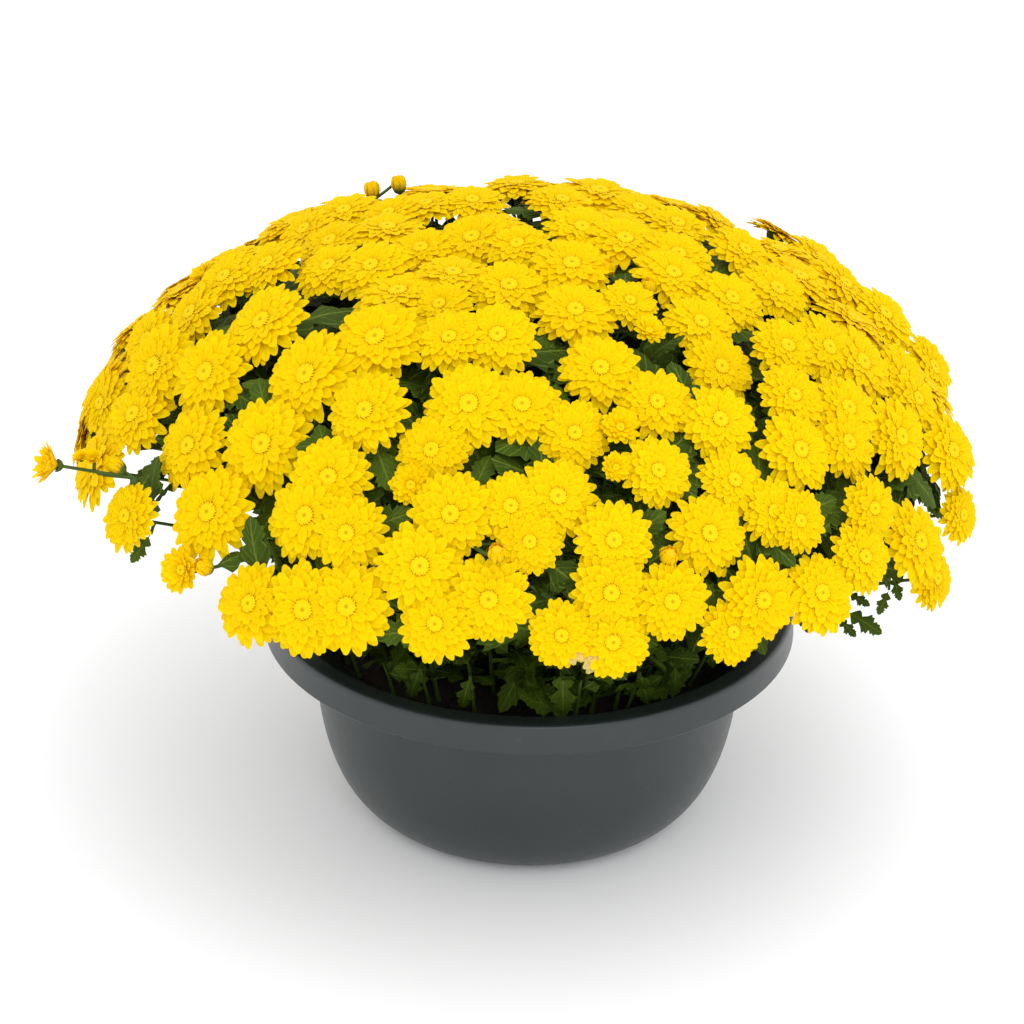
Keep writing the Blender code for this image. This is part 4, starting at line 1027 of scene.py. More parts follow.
def grow_shoot(growth, shoot, draw):
    """The shoot that leans out at the left: its branch, a stalk to each of its blooms, and its bud."""
    fork = on_dome(*SHOOT_FORK_SEEN) + SHOOT_DEPTH * sight(*SHOOT_FORK_SEEN)
    for stem, start in nearest_places(growth, fork, SHOOT_REACH)[::SHOOT_SKIP]:
        if limb(growth, stem, [start], [fork], (BRANCH_RADIUS, BRANCH_RADIUS), BRANCH_SIDES, draw):
            break
    for bloom in shoot:
        grow_stalk(growth, stem, [fork], bloom, SHOOT_FULL_BLOOM, draw)
    tip = EYE + (fork - EYE).length * sight(*SHOOT_BUD_SEEN)
    limb(growth, stem, [fork], bud_ending(tip, (tip - fork).normalized()), BUD_RADII, BUD_SIDES, draw)


def nearest_places(growth, point, furthest, nearest=0.0):
    """(stem, place) wherever something that reaches the point may start, the nearest first."""
    found = [
        ((place - point).length, stem, place)
        for stem in range(STEM_COUNT)
        for place in growth.places(stem)
        if nearest < (place - point).length < furthest
    ]
    return [(stem, place) for _, stem, place in sorted(found, key=lambda item: item[0])]


def grow_bud(growth, place, draw):
    """A small round bud on a stalk of its own, on the first limb that gives it a clear way."""
    axis = (dome_normal(place) + Vector((0, 0, BUD_UPTURN))).normalized()
    for nearer in BUD_NEARER:
        ending = bud_ending(place + nearer * (EYE - place).normalized(), axis)
        for stem, start in nearest_places(growth, ending[0], BUD_REACH)[:BUD_WAYS * BUD_SKIP:BUD_SKIP]:
            if limb(growth, stem, [start], ending, BUD_RADII, BUD_SIDES, draw):
                return


def grow_leaf(growth, target, face):
    """A leaf whose broad part lies over the target, on the first limb that gives it a clear place."""
    broad = LEAF_SIDE[2][0]
    for stem, place in nearest_places(growth, target, broad * LEAF_LENGTH[1], broad * LEAF_LENGTH[0]):
        if growth.try_leaf(stem, place, place + (target - place) / broad, face):
            return


def grow_stem_leaves(growth, stem, draw):
    """Leaves one after the other round a main stem, each turned on from the last by the golden angle."""
    start, end = growth.limbs[stem][0]
    along = (end - start).normalized()
    for index in range(STEM_LEAVES):
        place = start.lerp(end, FIRST_LEAF + (1 - FIRST_LEAF) * index / (STEM_LEAVES - 1))
        out = Matrix.Rotation(LEAF_TURN * index + stem, 3, along) @ along.orthogonal().normalized()
        length = draw.uniform(*LEAF_LENGTH)
        for droop in LEAF_DROOPS:
            tip = place + length * (out - Vector((0, 0, droop))).normalized()
            if growth.try_leaf(stem, place, tip, out * droop + Vector((0, 0, 1))):
                break


def before_axis(x, y, radius):
    """Where the line of sight enters the upright cylinder of this radius round the bowl's axis."""
    ray = sight(x, y)
    flat = Vector((ray.x, ray.y))
    start = Vector((EYE.x, EYE.y))
    along = -start.dot(flat) / flat.length_squared
    inside = radius**2 - (start + along * flat).length_squared
    along -= math.sqrt(max(0.0, inside) / flat.length_squared)
    return EYE + along * ray


def leaf_targets(draw):
    """(place, face) for each leaf in the openings, and for those that the picture shows under them."""
    found = []
    for place, _ in openings(draw)[len(SEEN_BARE):]:
        found.append((place - LEAF_DEPTH * dome_normal(place), dome_normal(place)))
    for x, y in SEEN_SKIRT:
        place = before_axis(x, y, SKIRT_REACH)
        outward = Vector((place.x, place.y, SKIRT_LEAN * place.z)).normalized()
        found.append((place, (outward + SKIRT_TURN * (EYE - place).normalized()).normalized()))
    return found


growth = Growth([bloom.solid(CLEAR_GROWTH) for bloom in blooms + shoot] + [shape_of(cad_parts["pot"])])
members = [[bloom for bloom in blooms if bloom.spray == spray] for spray in sorted({b.spray for b in blooms})]
chosen, middles, centres = territories([[bloom.place for bloom in group] for group in members])
forks = grow_stems(growth, centres)
for stem, middle, group in zip(chosen, middles, members):
    grow_spray(growth, stem, forks[stem], middle, group, draw)
grow_shoot(growth, shoot, draw)
for x, y in SEEN_BUDS:
    grow_bud(growth, on_dome(x, y), draw)
growth.trees.append((None, search_tree(*shape_of(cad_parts["soil"]))))
for place, face in leaf_targets(draw):
    grow_leaf(growth, place, face)
for stem in range(STEM_COUNT):
    grow_stem_leaves(growth, stem, draw)


# The blooms
# Double heads of ray florets set one after the other by the golden angle, each a thin furrowed blade with
# a rounded tip, round a small button of disc florets. Every floret is a bent copy of one.
FLORET_ROWS = 5
# (along, width)
FLORET_WIDTHS = (
    (0.0, 0.24), (0.25, 0.60), (0.45, 0.88), (0.64, 1.0), (0.82, 0.88), (0.95, 0.60), (1.0, 0.16),
)
FLORET_THICKNESS = 0.016  # the shares here and below are of the bloom's radius
# How florets change from the outermost in: (share of their number, reach, foot radius, foot height,
# angles at foot and tip, width)
FULL_FLORETS = 88
FULL_FORM = (
    (0.00, 1.01, 0.12, -0.10, 6, -21, 0.260),
    (0.28, 0.94, 0.12, -0.05, 13, -17, 0.265),
    (0.50, 0.79, 0.13, -0.01, 18, -12, 0.270),
    (0.68, 0.65, 0.14, 0.02, 24, -9, 0.250),
    (0.84, 0.50, 0.15, 0.05, 29, -6, 0.215),
    (1.00, 0.36, 0.17, 0.07, 33, -2, 0.170),
)
YOUNG_FLORETS = 40
YOUNG_FORM = (
    (0.00, 1.00, 0.14, -0.10, 24, 2, 0.370),
    (0.40, 0.90, 0.14, -0.05, 34, 14, 0.350),
    (0.70, 0.68, 0.16, 0.00, 46, 28, 0.310),
    (1.00, 0.44, 0.18, 0.05, 60, 46, 0.240),
)
# The shoot's blooms, opening like funnels
FUNNEL_FORM = (
    (0.00, 0.97, 0.12, -0.12, 44, 26, 0.330),
    (0.45, 0.84, 0.12, -0.06, 54, 38, 0.310),
    (0.75, 0.60, 0.14, 0.00, 64, 52, 0.280),
    (1.00, 0.38, 0.16, 0.06, 72, 62, 0.220),
)
GOLDEN_TURN = math.pi * (3 - math.sqrt(5))
TIP_CORNER = 0.965  # where the rounding of a tip starts, as a share of the length
CHANNEL = 0.09  # how deep a floret is hollowed, as a share of its width
CLOSER_ROWS = 0.35  # how much closer its rows lie at its tip than at its foot
# How far florets may be astray of their form
REACH_ASTRAY = 0.05
TURN_ASTRAY = 0.07
TILT_ASTRAY = math.radians(3.5)
SIDE_ASTRAY = 0.10
TWIST_ASTRAY = 0.09
WIDTH_ASTRAY = (0.92, 1.06)
# A floret's tone: that of its bloom's age, a little astray, and more where it is seen from beneath
AGE_TONES = (0.0, 0.5)
TONE_ASTRAY = 0.2
UNDER_TONE = 1.4
# The button: its rings from the rim in (radius, height), with bumps for its disc florets
BUTTON_RINGS = ((0.200, 0.045), (0.212, 0.085), (0.186, 0.112), (0.126, 0.124), (0.066, 0.118))
BUTTON_TOP = 0.104
BUTTON_STEPS = 20
BUTTON_BUMP = 0.016
YOUNG_BUTTON = 1.1
WITHERED_SEEN = (583, 667)  # where a few petals show pale and withered
WITHERED_WIDTH = 8.5
WITHERED_TONE = 3.0


def flat_grid(columns, rows):
    """A grid from -1 to 1 across and from 0 to 1 along."""
    bpy.ops.mesh.primitive_grid_add(x_subdivisions=columns, y_subdivisions=rows, size=2.0)
    made = bpy.context.object
    made.scale = (1.0, 0.5, 1.0)
    made.location = (0.0, 0.5, 0.0)
    bpy.ops.object.transform_apply(location=True, scale=True)
    return made


def one_floret():
    """The flat pattern of a floret, as (across -1 to 1, along 0 to 1, side 0 or -1), and its faces."""
    made = flat_grid(2, FLORET_ROWS)
    bpy.ops.object.mode_set(mode="EDIT")
    bpy.ops.mesh.select_all(action="SELECT")
    bpy.ops.mesh.duplicate()
    bpy.ops.mesh.flip_normals()
    bpy.ops.object.mode_set(mode="OBJECT")
    for point in made.data.vertices:
        if point.select and abs(point.co.x) < 0.5 and 0.01 < point.co.y < 0.99:
            point.co.z = -1.0
        if abs(point.co.x) > 0.5 and point.co.y > 0.99:
            point.co.y = TIP_CORNER
    bpy.ops.object.mode_set(mode="EDIT")
    bpy.ops.mesh.select_all(action="SELECT")
    bpy.ops.mesh.remove_doubles(threshold=0.001)
    bpy.ops.object.mode_set(mode="OBJECT")
    pattern = shape_of(made)
    bpy.data.objects.remove(made, do_unlink=True)
    return pattern


floret, floret_faces = one_floret()
floret_under = UNDER_TONE * (floret[:, 2] < -0.5)
floret_uv = np.stack([(floret[:, 0] + 1) / 2, floret[:, 1]], axis=1)[np.concatenate(floret_faces)]
bloom_draw = np.random.default_rng(SEED + 1)


def set_round(turns, out, aside, up):
    """Points of blades that stand round Z, each blade at its own turn, as (blade, point, axis)."""
    return np.stack([
        np.cos(turns) * out - np.sin(turns) * aside,
        np.sin(turns) * out + np.cos(turns) * aside,
        up,
    ], axis=2)


def florets_of(count, form):
    """The points of a bloom's florets, for a bloom of radius 1 that faces +Z."""
    shares = (np.arange(count)[:, None] + 0.5) / count
    columns = list(zip(*form))
    reach, foot, height, rise, fall, width = (np.interp(shares, columns[0], column) for column in columns[1:])
    turns = np.arange(count)[:, None] * GOLDEN_TURN + bloom_draw.uniform(0, math.tau)
    turns = turns + bloom_draw.uniform(-TURN_ASTRAY, TURN_ASTRAY, (count, 1))
    tipped = bloom_draw.uniform(-TILT_ASTRAY, TILT_ASTRAY, (count, 1))
    start = np.radians(rise) + tipped
    turned_by = np.radians(fall - rise) + 0.5 * tipped
    across, along, under = floret.T
    along = along * (1 + CLOSER_ROWS - CLOSER_ROWS * along)
    reach = reach * (1 + bloom_draw.uniform(-REACH_ASTRAY, REACH_ASTRAY, (count, 1)))
    length = (reach - foot) * turned_by / (np.sin(start + turned_by) - np.sin(start))
    tilt = start + turned_by * along
    out = foot + length * (np.sin(tilt) - np.sin(start)) / turned_by
    up = height + length * (np.cos(start) - np.cos(tilt)) / turned_by
    half = 0.5 * width * np.interp(along, *zip(*FLORET_WIDTHS))
    half = half * bloom_draw.uniform(*WIDTH_ASTRAY, (count, 1))
    lift = CHANNEL * half * across**2 + FLORET_THICKNESS * under * np.sin(math.pi * along) ** 0.5
    lift = lift + half * across * bloom_draw.uniform(-TWIST_ASTRAY, TWIST_ASTRAY, (count, 1))
    aside = half * across + bloom_draw.uniform(-SIDE_ASTRAY, SIDE_ASTRAY, (count, 1)) * width * along**2
    return set_round(turns, out - np.sin(tilt) * lift, aside, up + np.cos(tilt) * lift)


def button_of(size):
    """The points of a bloom's button, with its rings a little bumpy."""
    points = []
    for ring, (radius, rise) in enumerate(BUTTON_RINGS):
        for step in range(BUTTON_STEPS):
            turn = math.tau * (step + 0.5 * (ring % 2)) / BUTTON_STEPS
            bump = BUTTON_BUMP * (step % 2 - 0.5) * (0 < ring < len(BUTTON_RINGS) - 1)
            far = size * (radius + bump)
            points.append((far * math.cos(turn), far * math.sin(turn), size * (rise + bump)))
    points += [(0.0, 0.0, 0.0), (0.0, 0.0, size * BUTTON_TOP)]
    return np.array(points)


def ring_faces(rings, steps):
    """The faces of a closed turned shape of rings, then the middle of its foot and of its top."""
    foot, top, last = rings * steps, rings * steps + 1, (rings - 1) * steps
    faces = []
    for step in range(steps):
        ahead = (step + 1) % steps
        faces.append((foot, ahead, step))
        for low in range(0, last, steps):
            faces.append((low + step, low + ahead, low + steps + ahead, low + steps + step))
        faces.append((last + step, last + ahead, top))
    return faces


def ring_uvs(rings, steps):
    """The turn round the shape and the distance from its top, for each corner of those faces."""
    uvs = []
    for step in range(steps):
        left, right = step / steps, (step + 1) / steps
        uvs += [(left, 1.0), (right, 1.0), (left, 1.0)]
        for ring in range(rings - 1):
            near, far = 1 - ring / rings, 1 - (ring + 1) / rings
            uvs += [(left, near), (right, near), (right, far), (left, far)]
        uvs += [(left, 1 / rings), (right, 1 / rings), (left, 0.0)]
    return np.array(uvs)


class Mesh:
    """Points and faces collected for one piece, with a UV and a material for each face, and a tone."""

    def __init__(self):
        self.points, self.faces, self.uvs, self.slots, self.tones = [], [], [], [], []
        self.count = 0

    def add(self, points, faces, slot, tone, uvs=None):
        self.points.append(points)
        self.faces += [[corner + self.count for corner in face] for face in faces]
        self.uvs.append(np.zeros((sum(map(len, faces)), 2)) if uvs is None else uvs)
        self.slots += [slot] * len(faces)
        self.tones.append(np.broadcast_to(tone, len(points)))
        self.count += len(points)

    def piece(self, name, surfaces, replaced, slot, degrees):
        """The finished piece, which rides on the root and stands for the CAD node."""
        mesh = bpy.data.meshes.new(name)
        mesh.from_pydata(np.concatenate(self.points).tolist(), [], self.faces)
        layer = mesh.uv_layers.new(name="UVMap")
        layer.uv.foreach_set("vector", np.concatenate(self.uvs).astype(np.float32).ravel())
        mesh.polygons.foreach_set("material_index", self.slots)
        tone = mesh.attributes.new("tone", "FLOAT", "POINT")
        tone.data.foreach_set("value", np.concatenate(self.tones).astype(np.float32))
        for surface in surfaces:
            mesh.materials.append(surface)
        made = bpy.data.objects.new(name, mesh)
        bpy.context.scene.collection.objects.link(made)
        shade(made, degrees)
        if replaced:
            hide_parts(replaced)
        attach(made, "root")
        return made


# Ray floret: a soft petal, thin enough for light to come through it, its cells full of yellow. Its foot is
# deeper in colour, its underside is paler and lets more light through, it has two shallow furrows 1 mm
# apart, and fine streaks run along it. A few at the front are withered, and nearly white.
petal, tree, shader = new_material("yellow_ray_floret", 0.6, 1.4, 0.08)
place = add_node(tree, "UVMap", {}, uv_map="UVMap")
axes = add_node(tree, "SeparateXYZ", {"Vector": place})
tone = add_node(tree, "Attribute", {}, attribute_name="tone").outputs["Fac"]
foot = add_node(tree, "MapRange", {"Value": axes.outputs["Y"], "From Max": 0.55,
                                   "To Min": 1.0, "To Max": 0.0})
blush = add_node(tree, "Mix", {0: foot, 6: colour("#FFE202"), 7: colour("#FDD802")}, data_type="RGBA")
age = add_node(tree, "Mix", {0: tone, 6: blush, 7: colour("#FFDB00")}, data_type="RGBA")
stretch = add_node(tree, "Mapping", {"Vector": place, "Scale": (14.0, 1.2, 1.0)})
streaks = add_node(tree, "TexNoise", {"Vector": stretch, "Scale": 1.0, "Detail": 2.0})
faint = add_node(tree, "MapRange", {"Value": streaks, "From Min": 0.45, "From Max": 0.75, "To Max": 0.3})
streaked = add_node(tree, "Mix", {0: faint, 6: age, 7: colour("#FAD402")}, data_type="RGBA")
furrow = add_node(tree, "Math", {0: axes.outputs["X"], 1: 6 * math.pi}, operation="MULTIPLY")
wave = add_node(tree, "Math", {0: furrow}, operation="COSINE")
bump = add_node(tree, "Bump", {"Height": wave, "Strength": 0.3, "Distance": 0.00025})
beneath = add_node(tree, "MapRange", {"Value": tone, "From Min": 0.75, "From Max": 1.3, "To Max": 0.85})
two_sided = add_node(tree, "Mix", {0: beneath, 6: streaked, 7: colour("#F6E26A")}, data_type="RGBA")
withered = add_node(tree, "MapRange", {"Value": tone, "From Min": 2.3, "From Max": 2.8})
faded = add_node(tree, "Mix", {0: withered, 6: two_sided, 7: colour("#FFF9D0")}, data_type="RGBA")
feed(shader, {"Base Color": faded, "Normal": bump})
through = add_node(tree, "BsdfTranslucent", {"Color": colour("#FFF054"), "Normal": bump})
lit_through = add_node(tree, "MapRange", {"Value": beneath, "To Min": 0.45, "To Max": 0.85})
thin = add_node(tree, "MixShader", {0: lit_through, 1: shader, 2: through})
feed(tree.nodes["Material Output"], {"Surface": thin})

# Disc florets: short matt yellow tubes packed in a button. Brown dashes dot its rim, here more and there
# less,
# as the florets ripen: partly anthers, partly painted shadow in the gaps between the rim and the innermost
# ray florets. Its middle, not yet open, is a dull olive.
button, tree, shader = new_material("yellow_disc_florets", 0.65, 1.4, 0.12)
place = add_node(tree, "UVMap", {}, uv_map="UVMap")
axes = add_node(tree, "SeparateXYZ", {"Vector": place})
around = add_node(tree, "Math", {0: axes.outputs["X"], 1: BUTTON_STEPS * math.tau}, operation="MULTIPLY")
beat = add_node(tree, "Math", {0: around}, operation="COSINE")
gaps = add_node(tree, "MapRange", {"Value": beat, "From Min": -0.2, "From Max": 0.4})
where = add_node(tree, "TexCoord", {}).outputs["Object"]
ripening = add_node(tree, "TexNoise", {"Vector": where, "Scale": 170.0, "Detail": 1.0})
ripe = add_node(tree, "MapRange", {"Value": ripening, "From Min": 0.40, "From Max": 0.60,
                                   "To Min": 0.72, "To Max": 0.44})
rim = add_node(tree, "MapRange", {"Value": axes.outputs["Y"], "From Min": ripe, "From Max": 0.77})
# Brown at the rim: anthers, and painted shadow where the innermost ray florets meet the button.
anthers_and_gap_shade = add_node(tree, "Math", {0: gaps, 1: rim}, operation="MULTIPLY")
middle = add_node(tree, "MapRange", {"Value": axes.outputs["Y"], "From Min": 0.02, "From Max": 0.22,
                                     "To Min": 1.0, "To Max": 0.0})
yellow = add_node(tree, "Mix", {0: middle, 6: colour("#F0C404"), 7: colour("#A88C00")}, data_type="RGBA")
brown = add_node(tree, "Mix", {0: anthers_and_gap_shade, 6: yellow, 7: colour("#5E2E00")}, data_type="RGBA")
feed(shader, {"Base Color": brown})


def placed(points, matrix, size):
    """Points of a shape of size 1, in its place."""
    matrix = np.array(matrix)
    return size * points @ matrix[:3, :3].T + matrix[:3, 3]


def seen_at(point):
    """Where a point shows in the picture."""
    scale = SIGHT_LENGTH / (point - EYE).dot(LOOK)
    return Vector((PICTURE_MIDDLE + scale * (point - EYE).dot(LOOK_RIGHT),
                   PICTURE_MIDDLE - scale * (point - EYE).dot(LOOK_UP)))


button_faces = ring_faces(len(BUTTON_RINGS), BUTTON_STEPS)
button_uvs = ring_uvs(len(BUTTON_RINGS), BUTTON_STEPS)
tip_corner = int(floret[:, 1].argmax())
numbers = {spray: index for index, spray in enumerate(sorted({b.spray for b in blooms + shoot}), 1)}
sprays = {number: Mesh() for number in numbers.values()}
for bloom in blooms + shoot:
    young = bloom.petals == HALF_OPEN_PETALS
    matrix = bloom.matrix()
    mesh = sprays[numbers[bloom.spray]]
    age = bloom_draw.uniform(*AGE_TONES)
    form = FUNNEL_FORM if bloom in shoot else YOUNG_FORM if young else FULL_FORM
    for blade in florets_of(YOUNG_FLORETS if young else FULL_FLORETS, form):
        tone = min(1.0, max(0.0, age + bloom_draw.uniform(-TONE_ASTRAY, TONE_ASTRAY)))
        points = placed(blade, matrix, bloom.radius)
        if (seen_at(Vector(points[tip_corner])) - Vector(WITHERED_SEEN)).length < WITHERED_WIDTH:
            tone = WITHERED_TONE
        mesh.add(points, floret_faces, 0, tone + floret_under, floret_uv)
    points = button_of(YOUNG_BUTTON if young else 1.0)
    mesh.add(placed(points, matrix, bloom.radius), button_faces, 1, age, button_uvs)
for number, mesh in sprays.items():
    mesh.piece(f"blooms_{number:02d}", (petal, button), f"spray_{number:02d}", "yellow_petals", 50)


# The stems
# Green, round and a little downy: main stems, branches and flower stalks. Under each bloom sits its
# calyx, a low green cup with a toothed rim, and some stalks end in a bud that is about to open.
STEM_RINGS = 10  # corners round a main stem
STALK_RINGS = 6
STALK_SLIM = 0.72  # a stalk's width against the source's, which is as thin as it can be cast
SPAN_STEPS = 4  # rings along each span of a limb
NECK_SHARE = 0.35  # where a stalk bends up to its bloom, as a share of its knee
CALYX_STEPS = 14
# (radius, height) in shares of the bloom's radius, from the stalk out and back in
CALYX_SECTION = (
    (0.055, -0.37), (0.13, -0.345), (0.22, -0.275), (0.275, -0.18), (0.30, -0.09), (0.26, -0.08),
)
CALYX_TEETH = 0.035
CALYX_FLOOR = -0.14
# Buds that the picture shows besides those of the source
MORE_BUDS_SEEN = ((371, 183), (607, 262), (649, 281))
BUD_FOLDS = 7
BUD_STEPS = 3 * BUD_FOLDS
BUD_FOLD_DEPTH = 0.12
BUD_FOLD_FOOT = 0.6  # how far under the bud's middle its folds begin, as a share of its radius
BUD_TWIST = 0.5
# (radius, height) in shares of the bud's radius
BUD_SECTION = (
    (0.25, -1.15), (0.62, -0.95), (0.86, -0.5), (0.96, -0.05), (0.92, 0.35), (0.72, 0.65), (0.42, 0.80),
    (0.16, 0.76),
)
BUD_TOP = 0.70
BUD_PETALS = 20
# The line that a bud's petal follows up its side, from its foot, as (radius, height)
BUD_PETAL_LINE = ((0.80, -0.55), (1.00, -0.10), (1.02, 0.35), (0.88, 0.80), (0.72, 1.12))
BUD_PETAL_WIDTH = 0.50
BUD_PETAL_SPREAD = (0.74, 1.12)  # from the innermost petals out
BUD_SPREAD_ASTRAY = (0.95, 1.05)
BUD_WIDTH_ASTRAY = (0.8, 1.1)
BUD_TIP_ASTRAY = 0.06
BUD_PETAL_SHORTER = 0.3  # how much shorter the outer ones are
BUD_PETAL_HOLLOW = 0.3
BUD_PETAL_TONE = 0.7
PLAIN_TONE = 0.5  # of a stem and a calyx


def smoothed(path, widths):
    """More points along a limb, on a curve through all of its own."""
    ends = [path[0] * 2 - path[1], *path, path[-1] * 2 - path[-2]]
    points, radii = [], []
    for index in range(len(path) - 1):
        before, start, end, after = ends[index:index + 4]
        for step in range(SPAN_STEPS):
            t = step / SPAN_STEPS
            moved = (end - before) * t
            moved += (2 * before - 5 * start + 4 * end - after) * t**2
            moved += (3 * start - before - 3 * end + after) * t**3
            points.append(start + 0.5 * moved)
            radii.append(widths[index] * (1 - t) + widths[index + 1] * t)
    return [*points, path[-1]], [*radii, widths[-1]]


def turned_solid(section, steps, top, teeth=0.0):
    """Points and faces of a closed turned shape round Z, with teeth on its last ring but one."""
    points = []
    for ring, (radius, height) in enumerate(section):
        for step in range(steps):
            turn = math.tau * (step + 0.5 * (ring % 2)) / steps
            tooth = teeth * (1 if step % 2 else -1) * (ring == len(section) - 2)
            points.append((radius * math.cos(turn), radius * math.sin(turn), height + tooth))
    points += [(0.0, 0.0, section[0][1]), (0.0, 0.0, top)]
    return np.array(points), ring_faces(len(section), steps)


calyx_points, calyx_faces = turned_solid(CALYX_SECTION, CALYX_STEPS, CALYX_FLOOR, CALYX_TEETH)
bud_points, bud_faces = turned_solid(BUD_SECTION, BUD_STEPS, BUD_TOP)
bud_turn = np.arctan2(bud_points[:, 1], bud_points[:, 0]) + BUD_TWIST * bud_points[:, 2]
bud_folds = BUD_FOLD_DEPTH * np.cos(BUD_FOLDS * bud_turn) * np.clip(bud_points[:, 2] + BUD_FOLD_FOOT, 0, 1)
bud_points[:, :2] *= (1 + bud_folds)[:, None]
# The tone rises from the foot of the bud to its top, and the folds add to it: painted light on their ribs,
# painted shade in their creases.
bud_tones_with_fold_light = np.clip((bud_points[:, 2] + 1) / 2 + bud_folds, 0, 1)


def bud_petals():
    """The points of a bud's first petals, upright round it and loose at their tips."""
    shares = np.linspace(*BUD_PETAL_SPREAD, BUD_PETALS)[:, None]
    spread = shares * bloom_draw.uniform(*BUD_SPREAD_ASTRAY, (BUD_PETALS, 1))
    turns = np.arange(BUD_PETALS)[:, None] * GOLDEN_TURN + bloom_draw.uniform(0, math.tau)
    across, along, under = floret.T
    steps = np.linspace(0, 1, len(BUD_PETAL_LINE))
    radius, height = (np.interp(along, steps, column) for column in zip(*BUD_PETAL_LINE))
    width = BUD_PETAL_WIDTH * bloom_draw.uniform(*BUD_WIDTH_ASTRAY, (BUD_PETALS, 1))
    half = 0.5 * width * np.interp(along, *zip(*FLORET_WIDTHS))
    out = spread * radius - FLORET_THICKNESS * under - BUD_PETAL_HOLLOW * half * across**2
    up = height * (1 + BUD_PETAL_SHORTER * (1 - shares))
    up = up + bloom_draw.uniform(-BUD_TIP_ASTRAY, BUD_TIP_ASTRAY, (BUD_PETALS, 1)) * along
    return set_round(turns, out, half * across, up)


# Living stem: green, waxy under fine down that makes it matt, in lighter and darker patches 1 cm across.
stem_green, tree, shader = new_material("green_stem", 0.5, 1.4, 0.25)
where = add_node(tree, "TexCoord", {}).outputs["Object"]
patches = add_node(tree, "TexNoise", {"Vector": where, "Scale": 90.0, "Detail": 3.0})
tint = add_node(tree, "Mix", {0: patches, 6: colour("#283A10"), 7: colour("#4E6428")}, data_type="RGBA")
down = add_node(tree, "TexNoise", {"Vector": where, "Scale": 2200.0, "Detail": 1.0})
bump = add_node(tree, "Bump", {"Height": down, "Strength": 0.3, "Distance": 0.0002})
feed(shader, {"Base Color": tint, "Normal": bump})

# Bud: green bracts at its foot, and over them the folded petals, ochre lower down and yellow towards the top,
# with painted shade in the creases of the folds and painted light on their ribs. The petals that stand loose
# round it are ray florets.
bud_green, tree, shader = new_material("green_yellow_bud", 0.55, 1.4, 0.2)
tone = add_node(tree, "Attribute", {}, attribute_name="tone").outputs["Fac"]
opening = add_node(tree, "MapRange", {"Value": tone, "From Min": 0.18, "From Max": 0.42})
tint = add_node(tree, "Mix", {0: opening, 6: colour("#4B5F22"), 7: colour("#C89A06")}, data_type="RGBA")
# Painted light: the ribs of the folds, with the top, turn bright yellow, and their creases stay ochre as
# painted shade.
yellow_top_and_rib_light = add_node(tree, "MapRange", {"Value": tone, "From Min": 0.5, "From Max": 0.95})
folds = add_node(tree, "Mix", {0: yellow_top_and_rib_light, 6: tint, 7: colour("#F0C808")}, data_type="RGBA")
feed(shader, {"Base Color": folds})

for x, y in MORE_BUDS_SEEN:
    tip = on_dome(x, y)
    axis = (dome_normal(tip) + Vector((0, 0, BUD_UPTURN))).normalized()
    stem, start = nearest_places(growth, tip, BUD_REACH)[0]
    growth.tubes[stem].append(([start, *bud_ending(tip, axis)], [*BUD_RADII], None))

greens = [Mesh() for _ in range(STEM_COUNT)]
for stem, mesh in enumerate(greens):
    for path, widths, axis in growth.tubes[stem]:
        sides = STEM_RINGS if widths[0] > STALK_RADIUS else STALK_RINGS
        bud = len(widths) > 3 and widths[-2] == BUD_RADIUS
        if bud:
            along = (path[-1] - path[-3]).normalized()
            matrix = Matrix.Translation(path[-2]) @ along.to_track_quat("Z", "Y").to_matrix().to_4x4()
            mesh.add(placed(bud_points, matrix, BUD_RADIUS), bud_faces, 1, bud_tones_with_fold_light)
            for points in bud_petals():
                points = placed(points, matrix, BUD_RADIUS)
                mesh.add(points, floret_faces, 2, BUD_PETAL_TONE, floret_uv)
            path, widths = path[:-1], widths[:-3] + [STALK_RADIUS] * 2
        if axis:
            path = [*path[:-1], path[-1] - NECK_SHARE * KNEE * axis, path[-1]]
            widths = [STALK_RADIUS] * len(path)
        if sides == STALK_RINGS:
            widths = [STALK_SLIM * width for width in widths]
        points, faces = tube(*smoothed(path, widths), sides)
        mesh.add(np.array(points), faces, 0, PLAIN_TONE)
    for bloom in blooms + shoot:
        if growth.carrier.get(bloom) == stem:
            mesh.add(placed(calyx_points, bloom.matrix(), bloom.radius), calyx_faces, 0, PLAIN_TONE)
    surfaces = (stem_green, bud_green, petal)
    mesh.piece(f"stem_{stem + 1:02d}", surfaces, f"leafy_stem_{stem + 1:02d}", "green_foliage", 50)


# The leaves
# Soft dark green blades cut into five lobes, with a net of paler veins. Those of the source keep their
# places, and a rule sets many more along the limbs, where they stay under the blooms.
# Young shoots rise from the mix inside the lip, with smaller leaves.
# One side of a leaf, row by row from its foot: (along, across) of its edge, and along at its midrib
LEAF_ROWS = (
    (0.00, 0.000, 0.00), (0.12, 0.018, 0.10), (0.19, 0.110, 0.15), (0.27, 0.200, 0.20), (0.34, 0.165, 0.26),
    (0.39, 0.085, 0.32), (0.49, 0.160, 0.38), (0.57, 0.265, 0.44), (0.60, 0.205, 0.49), (0.665, 0.225, 0.54),
    (0.69, 0.110, 0.60), (0.76, 0.175, 0.67), (0.785, 0.135, 0.73), (0.85, 0.160, 0.79), (0.87, 0.105, 0.84),
    (0.94, 0.080, 0.91), (1.00, 0.000, 1.00),
)
LEAF_RIDGE = 0.10  # how steeply the sides fall from the midrib
LEAF_WAVE = 0.09
LEAF_WAVE_TURNS = (14, 3)  # radians of wave along a leaf, and between its sides
ADDED_UPTURN = 0.6  # how far an added leaf faces away from the dome, against up
ADDED_ASTRAY = 0.3
ADDED_DROOP = (-0.5, 0.6)
ADDED_AHEAD = 0.5  # how far it points along its limb
ADDED_LENGTH = (0.024, 0.044)
